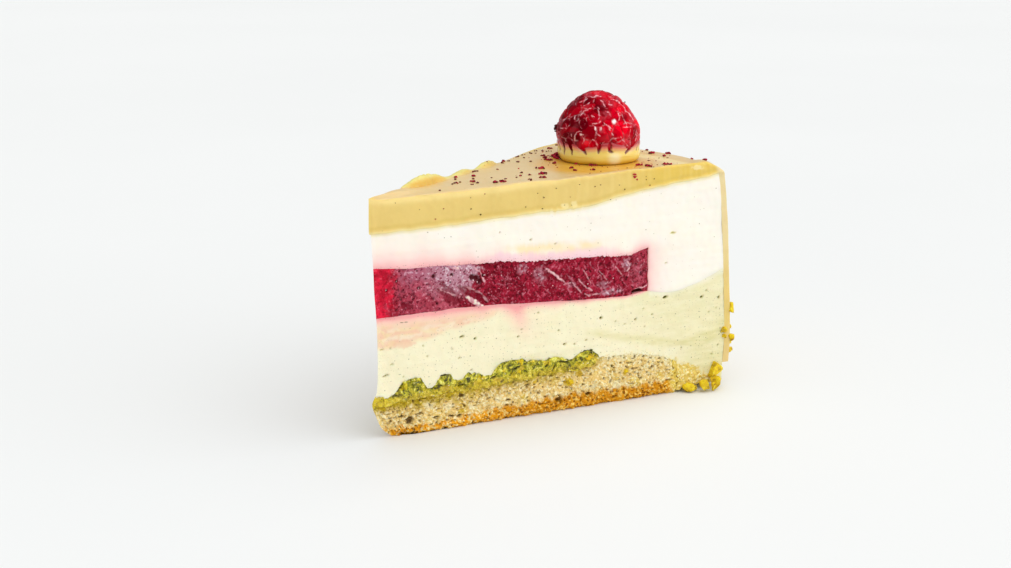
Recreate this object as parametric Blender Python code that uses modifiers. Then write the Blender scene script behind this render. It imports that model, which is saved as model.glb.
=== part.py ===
"""A slice of pistachio raspberry mousse cake with one raspberry on top.

The cake is a round one of 200 mm, and the slice is a wedge of it. Each layer runs through the
slice as a solid of its own: sponge, green pistachio filling, pistachio mousse, raspberry jelly,
vanilla mousse, and a praline glaze that covers the top and the round outer side. A raspberry
stands in a small collar of glaze near the rim. Chopped pistachios ring the foot of the rim, and
dried raspberry crumbs lie on the top.

Units are metres, +Z is up. The origin is on the surface that the slice stands on, half way
along it. The slice points along -X, and it is even about the XZ plane: the cut face on the -Y
side is the front one, and that on the +Y side is the back one.
"""

import math
import random

import bmesh
import bpy
from mathutils import Matrix, Vector, noise

MM = 0.001

# The cake and its slice
HEIGHT = 59 * MM
MOUSSE_RADIUS = 98.3 * MM
WEDGE_ANGLE = math.radians(32.2)
HALF_ANGLE = WEDGE_ANGLE / 2
TIP_X = -50.5 * MM
GAP = 0.3 * MM

# The side leans out towards the foot, as it does on a cake that is turned out of a mould
RIM_LEAN = 1.7 * MM
LEAN_FROM = 87 * MM

# The knife leaves the tip uneven: how far it stands back at each height
TIP_SET_BACK = (
    (0.0 * MM, 5.0 * MM),
    (2.7 * MM, 2.2 * MM),
    (5.5 * MM, 0.8 * MM),
    (9.0 * MM, -0.9 * MM),
    (12.0 * MM, 0.8 * MM),
    (23.0 * MM, 1.2 * MM),
    (31.0 * MM, 0.8 * MM),
    (42.0 * MM, 0.5 * MM),
    (51.0 * MM, -0.3 * MM),
    (59.0 * MM, -0.2 * MM),
)
TIP_REACH = 12 * MM

# Heights of the layers' boundaries, as (distance from the tip, height)
SPONGE_RADIUS = 86 * MM
SPONGE_TOP = (
    (0 * MM, 8.0 * MM),
    (10 * MM, 8.8 * MM),
    (36 * MM, 9.4 * MM),
    (50 * MM, 10.0 * MM),
    (61 * MM, 10.4 * MM),
    (65 * MM, 12.1 * MM),
    (70 * MM, 12.4 * MM),
    (78 * MM, 11.4 * MM),
    (86 * MM, 8.3 * MM),
)
FILLING_RADIUS = 62 * MM
FILLING_TOP = (
    (0.0 * MM, 10.8 * MM),
    (4.5 * MM, 10.8 * MM),
    (6.5 * MM, 13.0 * MM),
    (11.0 * MM, 13.2 * MM),
    (13.5 * MM, 11.4 * MM),
    (17.5 * MM, 13.2 * MM),
    (23.0 * MM, 12.0 * MM),
    (29.0 * MM, 12.8 * MM),
    (37.0 * MM, 14.9 * MM),
    (47.0 * MM, 14.5 * MM),
    (58.0 * MM, 15.2 * MM),
    (62.0 * MM, 14.2 * MM),
)
JELLY_RADIUS = 76.5 * MM
JELLY_BOTTOM = (
    (0 * MM, 30.2 * MM),
    (12 * MM, 29.7 * MM),
    (34 * MM, 29.3 * MM),
    (51 * MM, 28.4 * MM),
    (76.5 * MM, 28.0 * MM),
)
JELLY_TOP = (
    (0 * MM, 42.4 * MM),
    (15 * MM, 42.1 * MM),
    (34 * MM, 40.8 * MM),
    (51 * MM, 39.6 * MM),
    (64 * MM, 38.8 * MM),
    (71 * MM, 38.6 * MM),
    (76.5 * MM, 40.6 * MM),
)
MOUSSE_MEETING = (
    (76.5 * MM, 27.7 * MM),
    (86 * MM, 27.5 * MM),
    (92.5 * MM, 29.3 * MM),
    (98.3 * MM, 32.0 * MM),
)
GLAZE_UNDERSIDE = (
    (0 * MM, 51.1 * MM),
    (20 * MM, 50.8 * MM),
    (39 * MM, 51.4 * MM),
    (51 * MM, 52.4 * MM),
    (68 * MM, 53.8 * MM),
    (92 * MM, 55.7 * MM),
    (98.3 * MM, 56.4 * MM),
)
MOUSSE_FOOT = 1.6 * MM

# The glaze down the side, and its rounded top edge
SKIN = 1.7 * MM
SKIN_FOOT = 6.8 * MM
EDGE_WIDTH = 5.0 * MM
EDGE_DROP = 2.6 * MM

# A lip of glaze that the knife pushed up along the back edge of the top
LIP_FROM, LIP_TO = 13 * MM, 36 * MM
LIP_HEIGHT = 1.6 * MM
LIP_OVERHANG = 0.9 * MM

# How rough the knife leaves each layer's cut, and how wide the bumps are
SPONGE_CUT = (0.5 * MM, 2.2 * MM)
FILLING_CUT = (0.8 * MM, 2.6 * MM)
MOUSSE_CUT = (0.2 * MM, 9.0 * MM)
JELLY_CUT = (0.25 * MM, 7.0 * MM)
GLAZE_CUT = (0.15 * MM, 8.0 * MM)

# The raspberry and the collar of glaze that it stands in
BERRY_PLACE = Vector((79.7 * MM, 2.6 * MM))
BERRY_RADIUS = 10.2 * MM
BERRY_TOP = 18.4 * MM
BERRY_WAIST = 7.2 * MM
BERRY_FOOT = 1.4 * MM
DRUPELET_RINGS = 8
DRUPELETS_ROUND = 18
DRUPELET_RADIUS = 2.0 * MM
DRUPELET_BULGE = 1.5 * MM
BERRY_SEAT = ((1.4 * MM, 8.0 * MM), (2.5 * MM, 8.8 * MM), (3.6 * MM, 9.9 * MM), (6 * MM, 13 * MM))
COLLAR_OUTLINE = (
    (0.0 * MM, 1.1 * MM),
    (8.2 * MM, 1.1 * MM),
    (8.6 * MM, 1.5 * MM),
    (9.7 * MM, 3.0 * MM),
    (10.2 * MM, 3.2 * MM),
    (10.7 * MM, 2.7 * MM),
    (11.0 * MM, 1.7 * MM),
    (10.9 * MM, 0.6 * MM),
    (10.5 * MM, 0.0 * MM),
    (0.0 * MM, 0.0 * MM),
)

# Chopped pistachios and dried raspberry crumbs
FOOT_NUTS = 17
CUT_NUTS = ((89.8 * MM, 2.2 * MM), (94.8 * MM, 2.3 * MM), (97.9 * MM, 2.9 * MM))
SIDE_NUTS = 8
NUT_RADIUS = 2.0 * MM
CRUMBS = 15
CRUMB_RADIUS = 0.8 * MM

ANGLE_STEPS = 6
SEED = 7


def clear_scene():
    """Remove whatever the file holds, so that the script can be run again."""
    for obj in list(bpy.data.objects):
        bpy.data.objects.remove(obj)


def material(name, colour, roughness):
    """A plain material of one colour."""
    made = bpy.data.materials.new(name)
    made.use_nodes = True
    shader = made.node_tree.nodes["Principled BSDF"]
    shader.inputs["Base Color"].default_value = (*colour, 1.0)
    shader.inputs["Roughness"].default_value = roughness
    shader.inputs["Metallic"].default_value = 0.0
    return made


def smooth_share(value, start, end):
    """0 before start and 1 after end, with a smooth rise between them."""
    share = min(max((value - start) / (end - start), 0.0), 1.0)
    return share * share * (3 - 2 * share)


def on_curve(points, place):
    """The second number at a place along the first one, on a smooth line through the points."""
    place = min(max(place, points[0][0]), points[-1][0])
    index = next(i for i in range(len(points) - 1) if place <= points[i + 1][0])
    slopes = []
    for i in (index, index + 1):
        before, after = points[max(i - 1, 0)], points[min(i + 1, len(points) - 1)]
        slopes.append((after[1] - before[1]) / (after[0] - before[0]))
    (start, low), (end, high) = points[index], points[index + 1]
    span = end - start
    t = (place - start) / span
    return (
        low * (2 * t**3 - 3 * t**2 + 1)
        + high * (3 * t**2 - 2 * t**3)
        + slopes[0] * span * (t**3 - 2 * t**2 + t)
        + slopes[1] * span * (t**3 - t**2)
    )


def sponge_top(reach, share):
    return on_curve(SPONGE_TOP, reach)


def filling_top(reach, share):
    """Knobbly, and not the same at the front as at the back of the slice."""
    front = on_curve(FILLING_TOP, reach)
    back = on_curve(FILLING_TOP, max(reach - 4 * MM, 0)) - 0.4 * MM
    return front + (back - front) * share


def filling_bottom(reach, share):
    return sponge_top(reach, share) + GAP


def pistachio_bottom(reach, share):
    """Over the filling, then over the bare sponge, then down past the sponge's end."""
    if reach < FILLING_RADIUS + GAP + 0.01 * MM:
        return filling_top(reach, share) + GAP
    if reach < SPONGE_RADIUS + GAP + 0.01 * MM:
        return sponge_top(reach, share) + GAP
    return MOUSSE_FOOT


def pistachio_top(reach, share):
    """Under the jelly, and beyond it up to where the two mousses meet."""
    if reach < JELLY_RADIUS + GAP:
        return on_curve(JELLY_BOTTOM, reach) - GAP
    return on_curve(MOUSSE_MEETING, reach)


def jelly_bottom(reach, share):
    return on_curve(JELLY_BOTTOM, reach)


def jelly_top(reach, share):
    return on_curve(JELLY_TOP, reach)


def vanilla_bottom(reach, share):
    """Over the jelly, then down past its end to the pistachio mousse."""
    if reach < JELLY_RADIUS + GAP + 0.01 * MM:
        return jelly_top(reach, share) + GAP
    return pistachio_top(reach, share) + GAP


def vanilla_top(reach, share):
    return on_curve(GLAZE_UNDERSIDE, reach)


def glaze_bottom(reach, share):
    """Over the vanilla mousse, then down the outside of the cake."""
    if reach < MOUSSE_RADIUS + 0.01 * MM:
        return vanilla_top(reach, share) + GAP
    return SKIN_FOOT


def glaze_top(reach, share):
    """Level, rounded off at the rim, with the knife's lip along the back edge."""
    outer = MOUSSE_RADIUS + GAP + SKIN
    across = max(reach - (outer - EDGE_WIDTH), 0) / EDGE_WIDTH
    edge = EDGE_DROP * (1 - math.sqrt(max(1 - across**2, 0)))
    return HEIGHT - edge + lip_share(reach, share) * LIP_HEIGHT


def lip_share(reach, share):
    """How much of the lip stands at this place: all of it at its middle on the back edge."""
    along = smooth_share(reach, LIP_FROM, LIP_FROM + 6 * MM)
    along *= 1 - smooth_share(reach, LIP_FROM + 8 * MM, LIP_TO)
    return along * smooth_share(share, 0.82, 1.0)


def evenly(start, end, count):
    """Distances from the tip, evenly spaced, with both ends."""
    return [start + (end - start) * i / (count - 1) for i in range(count)]


def wedge_block(reaches, rows):
    """A wedge one unit high: a grid that stands in the front cut face, spun to the back one."""
    bm = bmesh.new()
    columns = len(reaches) - 1
    bmesh.ops.create_grid(bm, x_segments=columns, y_segments=rows, size=0.5)
    for vert in bm.verts:
        reach = reaches[round((vert.co.x + 0.5) * columns)]
        height = vert.co.y + 0.5
        vert.co = (reach * math.cos(HALF_ANGLE), -reach * math.sin(HALF_ANGLE), height)
    bmesh.ops.spin(
        bm,
        geom=bm.verts[:] + bm.edges[:] + bm.faces[:],
        cent=(0, 0, 0),
        axis=(0, 0, 1),
        angle=WEDGE_ANGLE,
        steps=ANGLE_STEPS,
        use_duplicate=False,
    )
    bmesh.ops.remove_doubles(bm, verts=bm.verts[:], dist=0.001 * MM)
    bmesh.ops.recalc_face_normals(bm, faces=bm.faces[:])
    return bm


def shape_layer(bm, bottom, top, cut):
    """Give a wedge block its layer's height, the roughness of its cut, its tip and its lean."""
    roughness, width = cut
    for vert in bm.verts:
        reach = vert.co.xy.length
        angle = math.atan2(vert.co.y, vert.co.x) if reach > 0.1 * MM else 0.0
        share = (angle + HALF_ANGLE) / WEDGE_ANGLE
        low, high = bottom(reach, share), top(reach, share)
        vert.co.z = low + vert.co.z * (high - low)
        if reach > 0.1 * MM and min(share, 1 - share) < 0.001:
            side = 1 if share > 0.5 else -1
            outward = Vector((-math.sin(HALF_ANGLE), side * math.cos(HALF_ANGLE), 0))
            bump = roughness * noise.noise(Vector((reach, 40 * MM * side, vert.co.z)) / width)
            lip = LIP_OVERHANG * lip_share(reach, share) if top is glaze_top else 0
            vert.co += outward * (bump + lip)
        vert.co.x += on_curve(TIP_SET_BACK, vert.co.z) * (1 - smooth_share(reach, 0, TIP_REACH))
        lean = RIM_LEAN * (1 - vert.co.z / HEIGHT) * smooth_share(reach, LEAN_FROM, MOUSSE_RADIUS)
        vert.co += Vector((math.cos(angle), math.sin(angle), 0)) * lean
        vert.co.x += TIP_X


def place_object(name, bm, finish, collection):
    """Put a bmesh into the scene as a named object with its material."""
    mesh = bpy.data.meshes.new(name)
    bm.to_mesh(mesh)
    bm.free()
    mesh.materials.append(finish)
    mesh.shade_smooth()
    mesh.set_sharp_from_angle(angle=math.radians(35))
    made = bpy.data.objects.new(name, mesh)
    collection.objects.link(made)
    return made


def make_layer(name, reaches, rows, bottom, top, cut, finish, collection):
    bm = wedge_block(reaches, rows)
    shape_layer(bm, bottom, top, cut)
    return place_object(name, bm, finish, collection)


def rough_bit(centre, radius, chance):
    """A chopped nut or a crumb: a small round body with its corners moved by chance."""
    bm = bmesh.new()
    bmesh.ops.create_icosphere(bm, subdivisions=1, radius=radius)
    stretch = Vector((chance.uniform(0.8, 1.15), chance.uniform(0.8, 1.15), chance.uniform(0.7, 0.95)))
    start = Vector((chance.random(), chance.random(), chance.random())) * 10
    for vert in bm.verts:
        vert.co *= 1 + 0.25 * noise.noise(vert.co / radius * 0.9 + start)
        vert.co *= stretch
    turn = Matrix.Rotation(chance.uniform(0, math.tau), 4, "Z")
    bmesh.ops.transform(bm, matrix=Matrix.Translation(centre) @ turn, verts=bm.verts[:])
    return bm


def at_polar(reach, angle, height):
    """A point at a distance and an angle from the tip, in the slice's own frame."""
    return Vector((TIP_X + reach * math.cos(angle), reach * math.sin(angle), height))


def foot_nuts(chance):
    """The ring of chopped pistachios at the rim's foot, and those along the front cut there."""
    centres = []
    spread = WEDGE_ANGLE * 0.94
    for i in range(FOOT_NUTS):
        angle = (i / (FOOT_NUTS - 1) - 0.5) * spread
        reach = MOUSSE_RADIUS + RIM_LEAN + chance.uniform(-1.6, 0.2) * MM
        centres.append(at_polar(reach, angle, chance.uniform(2.7, 3.8) * MM))
    for side in (-1, 1):
        for reach, height in CUT_NUTS:
            inset = side * (HALF_ANGLE - 1.2 * MM / reach)
            centres.append(at_polar(reach, inset, height))
    return [rough_bit(c, NUT_RADIUS * chance.uniform(0.75, 1.0), chance) for c in centres]


def side_nuts(chance):
    """A few chopped pistachios that stuck higher on the glazed side."""
    made = []
    for i in range(SIDE_NUTS):
        angle = ((i + 0.5) / SIDE_NUTS - 0.5) * WEDGE_ANGLE
        height = chance.uniform(9, 22) * MM
        reach = MOUSSE_RADIUS + GAP + SKIN + RIM_LEAN * (1 - height / HEIGHT) + 0.2 * MM
        centre = at_polar(reach, angle, height)
        made.append(rough_bit(centre, NUT_RADIUS * chance.uniform(0.6, 0.85), chance))
    return made


def crumbs(chance):
    """Dried raspberry crumbs on the top, most of them around the raspberry."""
    made = []
    while len(made) < CRUMBS:
        away = chance.uniform(13, 32) * MM
        turn = chance.uniform(0, math.tau)
        place = BERRY_PLACE + Vector((math.cos(turn), math.sin(turn))) * away
        angle = math.atan2(place.y, place.x)
        if place.length > 90 * MM or abs(angle) > HALF_ANGLE * 0.85:
            continue
        centre = Vector((TIP_X + place.x, place.y, HEIGHT + 0.1 * MM))
        made.append(rough_bit(centre, CRUMB_RADIUS * chance.uniform(0.7, 1.3), chance))
    return made


def fuse(base, bits):
    """Join small bits to what they lie on with one Boolean union, and apply it."""
    group = bpy.data.collections.new(base.name + " bits")
    bpy.context.scene.collection.children.link(group)
    for i, bm in enumerate(bits):
        place_object(f"{base.name}_bit_{i}", bm, base.data.materials[0], group)
    union = base.modifiers.new("Bits", "BOOLEAN")
    union.operation = "UNION"
    union.solver = "EXACT"
    union.operand_type = "COLLECTION"
    union.collection = group
    graph = bpy.context.evaluated_depsgraph_get()
    fused = bpy.data.meshes.new_from_object(base.evaluated_get(graph))
    base.modifiers.clear()
    base.data = fused
    for obj in list(group.objects):
        bpy.data.objects.remove(obj)
    bpy.data.collections.remove(group)


def drupelet_centres():
    """Directions of the drupelets from the berry's middle: rings that hold fewer near the top."""
    found = []
    for ring in range(DRUPELET_RINGS):
        polar = math.radians(114) * (1 - ring / (DRUPELET_RINGS - 1))
        count = max(1, round(DRUPELETS_ROUND * math.sin(polar)))
        for i in range(count):
            turn = math.tau * (i + 0.5 * (ring % 2)) / count
            found.append(
                Vector(
                    (
                        math.sin(polar) * math.cos(turn),
                        math.sin(polar) * math.sin(turn),
                        math.cos(polar),
                    )
                )
            )
    return found


def make_raspberry(finish, collection):
    """A dome with a bump for every drupelet, flat where it sits in its collar."""
    bm = bmesh.new()
    bmesh.ops.create_uvsphere(bm, u_segments=72, v_segments=34, radius=1.0)
    centres = drupelet_centres()
    lift = HEIGHT + GAP + BERRY_WAIST
    middle = Vector((TIP_X + BERRY_PLACE.x, BERRY_PLACE.y, lift))
    for vert in bm.verts:
        way = vert.co.normalized()
        nearest = max(way.dot(centre) for centre in centres)
        apart = math.acos(min(nearest, 1.0)) * BERRY_RADIUS / DRUPELET_RADIUS
        bulge = DRUPELET_BULGE * math.sqrt(max(1 - min(apart, 1.0) ** 2, 0))
        upper = BERRY_TOP - BERRY_WAIST - DRUPELET_BULGE
        tall = upper if way.z > 0 else BERRY_RADIUS
        vert.co = Vector((way.x * BERRY_RADIUS, way.y * BERRY_RADIUS, way.z * tall)) + way * bulge
        height = max(vert.co.z + BERRY_WAIST, BERRY_FOOT)
        reach = vert.co.xy.length
        if height < BERRY_SEAT[-1][0] and reach > 0:
            narrowed = min(reach, on_curve(BERRY_SEAT, height))
            vert.co.x *= narrowed / reach
            vert.co.y *= narrowed / reach
        vert.co.z = height - BERRY_WAIST
        vert.co += middle
    under = [f for f in bm.faces if max(v.co.z for v in f.verts) < HEIGHT + GAP + BERRY_FOOT + 0.001 * MM]
    bmesh.ops.dissolve_faces(bm, faces=under)
    return place_object("raspberry", bm, finish, collection)


def make_collar(finish, collection):
    """A low round cushion of glaze, dished where the raspberry stands in it."""
    bm = bmesh.new()
    verts = [bm.verts.new((reach, 0, height)) for reach, height in COLLAR_OUTLINE]
    for first, second in zip(verts, verts[1:]):
        bm.edges.new((first, second))
    made = place_object("berry_collar", bm, finish, collection)
    made.location = (TIP_X + BERRY_PLACE.x, BERRY_PLACE.y, HEIGHT + GAP)
    turned = made.modifiers.new("Turned", "SCREW")
    turned.angle = math.tau
    turned.steps = turned.render_steps = 32
    turned.use_merge_vertices = True
    turned.merge_threshold = 0.00001
    turned.use_normal_calculate = True
    return made


def main():
    clear_scene()
    cake = bpy.data.collections.new("Pistachio raspberry cake slice")
    bpy.context.scene.collection.children.link(cake)
    chance = random.Random(SEED)

    sponge = material("Sponge", (0.70, 0.50, 0.18), 0.95)
    filling = material("Pistachio filling", (0.40, 0.34, 0.05), 0.5)
    pistachio = material("Pistachio mousse", (0.90, 0.85, 0.58), 0.6)
    jelly = material("Raspberry jelly", (0.30, 0.02, 0.045), 0.25)
    vanilla = material("Vanilla mousse", (0.96, 0.90, 0.78), 0.6)
    glaze = material("Praline glaze", (0.76, 0.57, 0.26), 0.35)
    raspberry = material("Raspberry", (0.46, 0.01, 0.02), 0.2)

    over_filling = evenly(0, FILLING_RADIUS, 32)
    make_layer(
        "sponge_base",
        evenly(0, FILLING_RADIUS, 26) + evenly(FILLING_RADIUS + 3 * MM, SPONGE_RADIUS, 10),
        4,
        lambda reach, share: 0.0,
        sponge_top,
        SPONGE_CUT,
        sponge,
        cake,
    )
    make_layer(
        "pistachio_filling",
        over_filling,
        3,
        filling_bottom,
        filling_top,
        FILLING_CUT,
        filling,
        cake,
    )
    lower = make_layer(
        "pistachio_mousse",
        over_filling
        + [FILLING_RADIUS + GAP, FILLING_RADIUS + 2 * GAP]
        + evenly(FILLING_RADIUS + 3 * MM, JELLY_RADIUS, 4)
        + [81 * MM, SPONGE_RADIUS + GAP, SPONGE_RADIUS + 3 * GAP]
        + evenly(91 * MM, MOUSSE_RADIUS, 3),
        3,
        pistachio_bottom,
        pistachio_top,
        MOUSSE_CUT,
        pistachio,
        cake,
    )
    fuse(lower, foot_nuts(chance))
    make_layer(
        "raspberry_jelly",
        evenly(0, 66 * MM, 12) + evenly(69 * MM, JELLY_RADIUS, 4),
        2,
        jelly_bottom,
        jelly_top,
        JELLY_CUT,
        jelly,
        cake,
    )
    make_layer(
        "vanilla_mousse",
        evenly(0, 66 * MM, 12)
        + evenly(69 * MM, JELLY_RADIUS, 4)
        + [JELLY_RADIUS + GAP, JELLY_RADIUS + 3 * GAP]
        + evenly(82 * MM, MOUSSE_RADIUS, 4),
        3,
        vanilla_bottom,
        vanilla_top,
        MOUSSE_CUT,
        vanilla,
        cake,
    )
    outer = MOUSSE_RADIUS + GAP + SKIN
    cover = make_layer(
        "praline_glaze",
        evenly(0, 90 * MM, 22)
        + evenly(93 * MM, MOUSSE_RADIUS, 4)
        + evenly(MOUSSE_RADIUS + GAP, outer, 4),
        4,
        glaze_bottom,
        glaze_top,
        GLAZE_CUT,
        glaze,
        cake,
    )
    fuse(cover, side_nuts(chance) + crumbs(chance))
    make_raspberry(raspberry, cake)
    make_collar(glaze, cake)


main()
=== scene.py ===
# %% [markdown]
# This is a slice of layered mousse cake: sponge, ground pistachio, pistachio mousse, raspberry
# jelly, vanilla mousse and a praline glaze, with one raspberry on top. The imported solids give
# every layer its place and size. Here each layer is modelled again, finer, with the marks of
# the knife, the crumb and the pores, and it gets a finish made of nodes. The solids are loaded
# first, and their box is kept, so that the finished slice can be compared with it.

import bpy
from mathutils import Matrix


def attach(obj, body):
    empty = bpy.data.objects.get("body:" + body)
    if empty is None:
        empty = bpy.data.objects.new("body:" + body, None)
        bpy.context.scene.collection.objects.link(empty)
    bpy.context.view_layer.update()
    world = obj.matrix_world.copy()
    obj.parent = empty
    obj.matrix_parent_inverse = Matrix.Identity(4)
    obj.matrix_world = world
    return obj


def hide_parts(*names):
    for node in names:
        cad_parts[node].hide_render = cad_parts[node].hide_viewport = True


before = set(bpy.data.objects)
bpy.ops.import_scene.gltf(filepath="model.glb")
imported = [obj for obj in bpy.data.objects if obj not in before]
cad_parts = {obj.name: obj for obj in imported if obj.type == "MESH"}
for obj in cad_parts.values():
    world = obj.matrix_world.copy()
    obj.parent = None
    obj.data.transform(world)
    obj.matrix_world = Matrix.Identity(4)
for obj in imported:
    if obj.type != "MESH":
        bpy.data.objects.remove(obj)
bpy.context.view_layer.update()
print("solids:", sorted(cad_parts))

# %% Blender's modules
import math
import random

import bmesh
import bpy
from mathutils import Matrix, Vector, kdtree, noise

# %% [markdown]
# A slice is easiest to think of from its tip: how far out a point is, and how high. The layers
# are shaped in millimetres with the tip at the origin, and moved to their place in metres at
# the end. The wedge is a little over 32 degrees, and its round side leans out to the foot, as
# a cake does that was frozen in a ring.

# %% The slice's own measures
MM = 0.001
TIP = Vector((-50.5, 0.0, 0.0))
WEDGE = math.radians(32.2)
HALF = WEDGE / 2
TOP = 59.0
MOUSSE_RIM = 98.5
SKIN_RIM = 100.3
RIM_LINE = (
    (0, 1.4), (6, 1.7), (12, 2.0), (18, 1.9), (25, 1.5), (35, 0.95), (45, 0.25), (51, -0.3), (56, -0.9),
    (59, -1.4),
)
print("slice:", round(math.degrees(WEDGE), 1), "degrees,", SKIN_RIM, "mm from tip to rim")

# %% [markdown]
# The camera looks at one cut face from the left, a little from above, and from close by, so
# the slice is drawn in strong perspective. A photographer's short telephoto lens does this. Its
# place was worked out from the lines of the slice: they meet at the tip, and the level top and
# the level foot fix how high it stands.

# %% Camera
camera_data = bpy.data.cameras.new("Camera")
camera_data.lens = 65.7
camera_data.sensor_width = 36
camera_data.clip_start = 0.01
camera = bpy.data.objects.new("Camera", camera_data)
camera.location = (-0.3219, -0.3242, 0.1374)
camera.rotation_euler = (math.radians(90 - 13.2), 0, math.radians(-44.17))
bpy.context.scene.collection.objects.link(camera)
bpy.context.scene.camera = camera
print("camera height:", camera.location.z)

# %% [markdown]
# The light is that of a bright studio: white from all sides, with one large soft light from
# above on the right that gives the layers their form and a faint shadow behind them on the
# left. A sun lamp with a wide angle lights the whole floor evenly, where an area lamp would
# make a bright patch. Standard colour keeps the whites of the cake white.

# %% Light and floor
scene = bpy.context.scene
scene.view_settings.view_transform = "Standard"
world = bpy.data.worlds.new("Studio")
world.use_nodes = True
world.node_tree.nodes["Background"].inputs["Color"].default_value = (0.985, 0.993, 1.0, 1)
world.node_tree.nodes["Background"].inputs["Strength"].default_value = 0.58
scene.world = world

key_data = bpy.data.lights.new("Key", "SUN")
key_data.energy = 2.22
key_data.angle = math.radians(110)
key_data.color = (1.0, 0.99, 0.972)
key = bpy.data.objects.new("Key", key_data)
key.rotation_euler = Vector((0.30, -0.52, 0.88)).to_track_quat("Z", "Y").to_euler()
scene.collection.objects.link(key)

floor_mesh = bmesh.new()
bmesh.ops.create_grid(floor_mesh, x_segments=2, y_segments=2, size=6)
floor_data = bpy.data.meshes.new("floor")
floor_mesh.to_mesh(floor_data)
floor_mesh.free()
floor = bpy.data.objects.new("floor", floor_data)
floor.location.z = -0.00005
scene.collection.objects.link(floor)

# %% [markdown]
# Materials are made of nodes. A few short helpers keep the finishes readable: one adds a node
# and joins its sockets, and the others are the nodes that come back most, such as noise and
# a blend of two colours. A finish reads the object's own coordinates in millimetres from the
# tip, so that a number in a pattern is a size on the cake.

# %% Node helpers


def add_node(tree, kind, sockets, **settings):
    """A node with its settings, and each socket joined to another one or given a value."""
    made = tree.nodes.new(kind)
    for name, value in settings.items():
        setattr(made, name, value)
    for name, value in sockets.items():
        if isinstance(value, bpy.types.NodeSocket):
            tree.links.new(value, made.inputs[name])
        else:
            made.inputs[name].default_value = value
    return made


def new_finish(name, roughness, shine=0.5, soft=0.0):
    """A material with its shader. soft is how much light passes under the surface."""
    made = bpy.data.materials.new(name)
    made.use_nodes = True
    shader = made.node_tree.nodes["Principled BSDF"]
    shader.inputs["Roughness"].default_value = roughness
    shader.inputs["Specular IOR Level"].default_value = shine
    shader.inputs["Subsurface Weight"].default_value = soft
    shader.inputs["Subsurface Scale"].default_value = 0.0011
    shader.inputs["Subsurface Radius"].default_value = (1.0, 0.7, 0.5)
    return made, made.node_tree, shader


def maths(tree, operation, first, second=0.0, clamp=False):
    sockets = {0: first, 1: second}
    return add_node(tree, "ShaderNodeMath", sockets, operation=operation, use_clamp=clamp).outputs[0]


def blend(tree, share, first, second):
    """Between two colours, each a socket or a plain (r, g, b)."""
    made = add_node(tree, "ShaderNodeMix", {"Factor": share}, data_type="RGBA")
    for socket, colour in ((made.inputs[6], first), (made.inputs[7], second)):
        if isinstance(colour, bpy.types.NodeSocket):
            tree.links.new(colour, socket)
        else:
            socket.default_value = (*colour, 1)
    return made.outputs[2]


def rise(tree, value, low, high):
    """0 below low, 1 above high, with a smooth rise; a low above high makes it a fall."""
    start, end = (low, high) if low < high else (high, low)
    ends = {"From Min": start, "From Max": end}
    ends |= {"To Min": 0.0, "To Max": 1.0} if low < high else {"To Min": 1.0, "To Max": 0.0}
    return add_node(
        tree, "ShaderNodeMapRange", {"Value": value} | ends, interpolation_type="SMOOTHSTEP"
    ).outputs[0]


def cloud(tree, where, size, detail=2.0, rough=0.5):
    """Noise whose blobs are about the given size in millimetres."""
    sockets = {"Vector": where, "Scale": 1 / size, "Detail": detail, "Roughness": rough}
    return add_node(tree, "ShaderNodeTexNoise", sockets).outputs["Fac"]


def mark(tree, name, strength=1.0):
    """A number that the mesh carries at each vertex."""
    fac = add_node(tree, "ShaderNodeAttribute", {}, attribute_name=name).outputs["Fac"]
    return fac if strength == 1.0 else maths(tree, "MULTIPLY", fac, strength)


def grains(tree, where, size, dark, middle, pale, few=0.25, many=0.72):
    """Crumb: packed grains of three tones. few is the share of dark ones, 1 - many of pale."""
    cells = add_node(tree, "ShaderNodeTexVoronoi", {"Vector": where, "Scale": 1 / size})
    chance = add_node(tree, "ShaderNodeSeparateColor", {0: cells.outputs["Color"]}).outputs[0]
    chance = maths(tree, "ADD", maths(tree, "MULTIPLY", chance, 0.62), 0.0)
    drift = maths(tree, "MULTIPLY", cloud(tree, where, size * 1.7, 3, 0.6), 0.76)
    chance = maths(tree, "SUBTRACT", maths(tree, "ADD", chance, drift), 0.19)
    colour = blend(tree, rise(tree, chance, few - 0.09, few + 0.09), dark, middle)
    return blend(tree, rise(tree, chance, many - 0.09, many + 0.09), colour, pale), chance


def tones(tree, value, steps, colours):
    """A colour for each range of a value, the first for the lowest, with narrow blends."""
    colour = colours[0]
    for step, following in zip(steps, colours[1:]):
        colour = blend(tree, rise(tree, value, step - 0.03, step + 0.03), colour, following)
    return colour


# %% [markdown]
# Two kinds of place are used. The first is simply the point in millimetres. The second is for
# patterns that lie in the cut: its first number runs out along the cut face and its second
# is the height. The angle is added to the first, so the front, the rim and the back each
# get their own part of the pattern and nothing is smeared round the rim.

# %% Places for patterns


def place_in_block(tree):
    """The point in millimetres, with the tip at the origin."""
    coordinates = add_node(tree, "ShaderNodeTexCoord", {}).outputs["Object"]
    sockets = {"Vector": coordinates, "Location": -TIP, "Scale": (1000, 1000, 1000)}
    return add_node(tree, "ShaderNodeMapping", sockets).outputs[0]


def place_in_cut(tree):
    """The point as distance out along the cut, and height."""
    parts = add_node(tree, "ShaderNodeSeparateXYZ", {0: place_in_block(tree)}).outputs
    flat = add_node(tree, "ShaderNodeCombineXYZ", {0: parts[0], 1: parts[1]}).outputs[0]
    out = add_node(tree, "ShaderNodeVectorMath", {0: flat}, operation="LENGTH").outputs["Value"]
    round_rim = maths(tree, "MULTIPLY", maths(tree, "ARCTAN2", parts[1], parts[0]), 100.0)
    along = maths(tree, "ADD", out, round_rim)
    return add_node(tree, "ShaderNodeCombineXYZ", {0: along, 1: parts[2]}).outputs[0]


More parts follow.
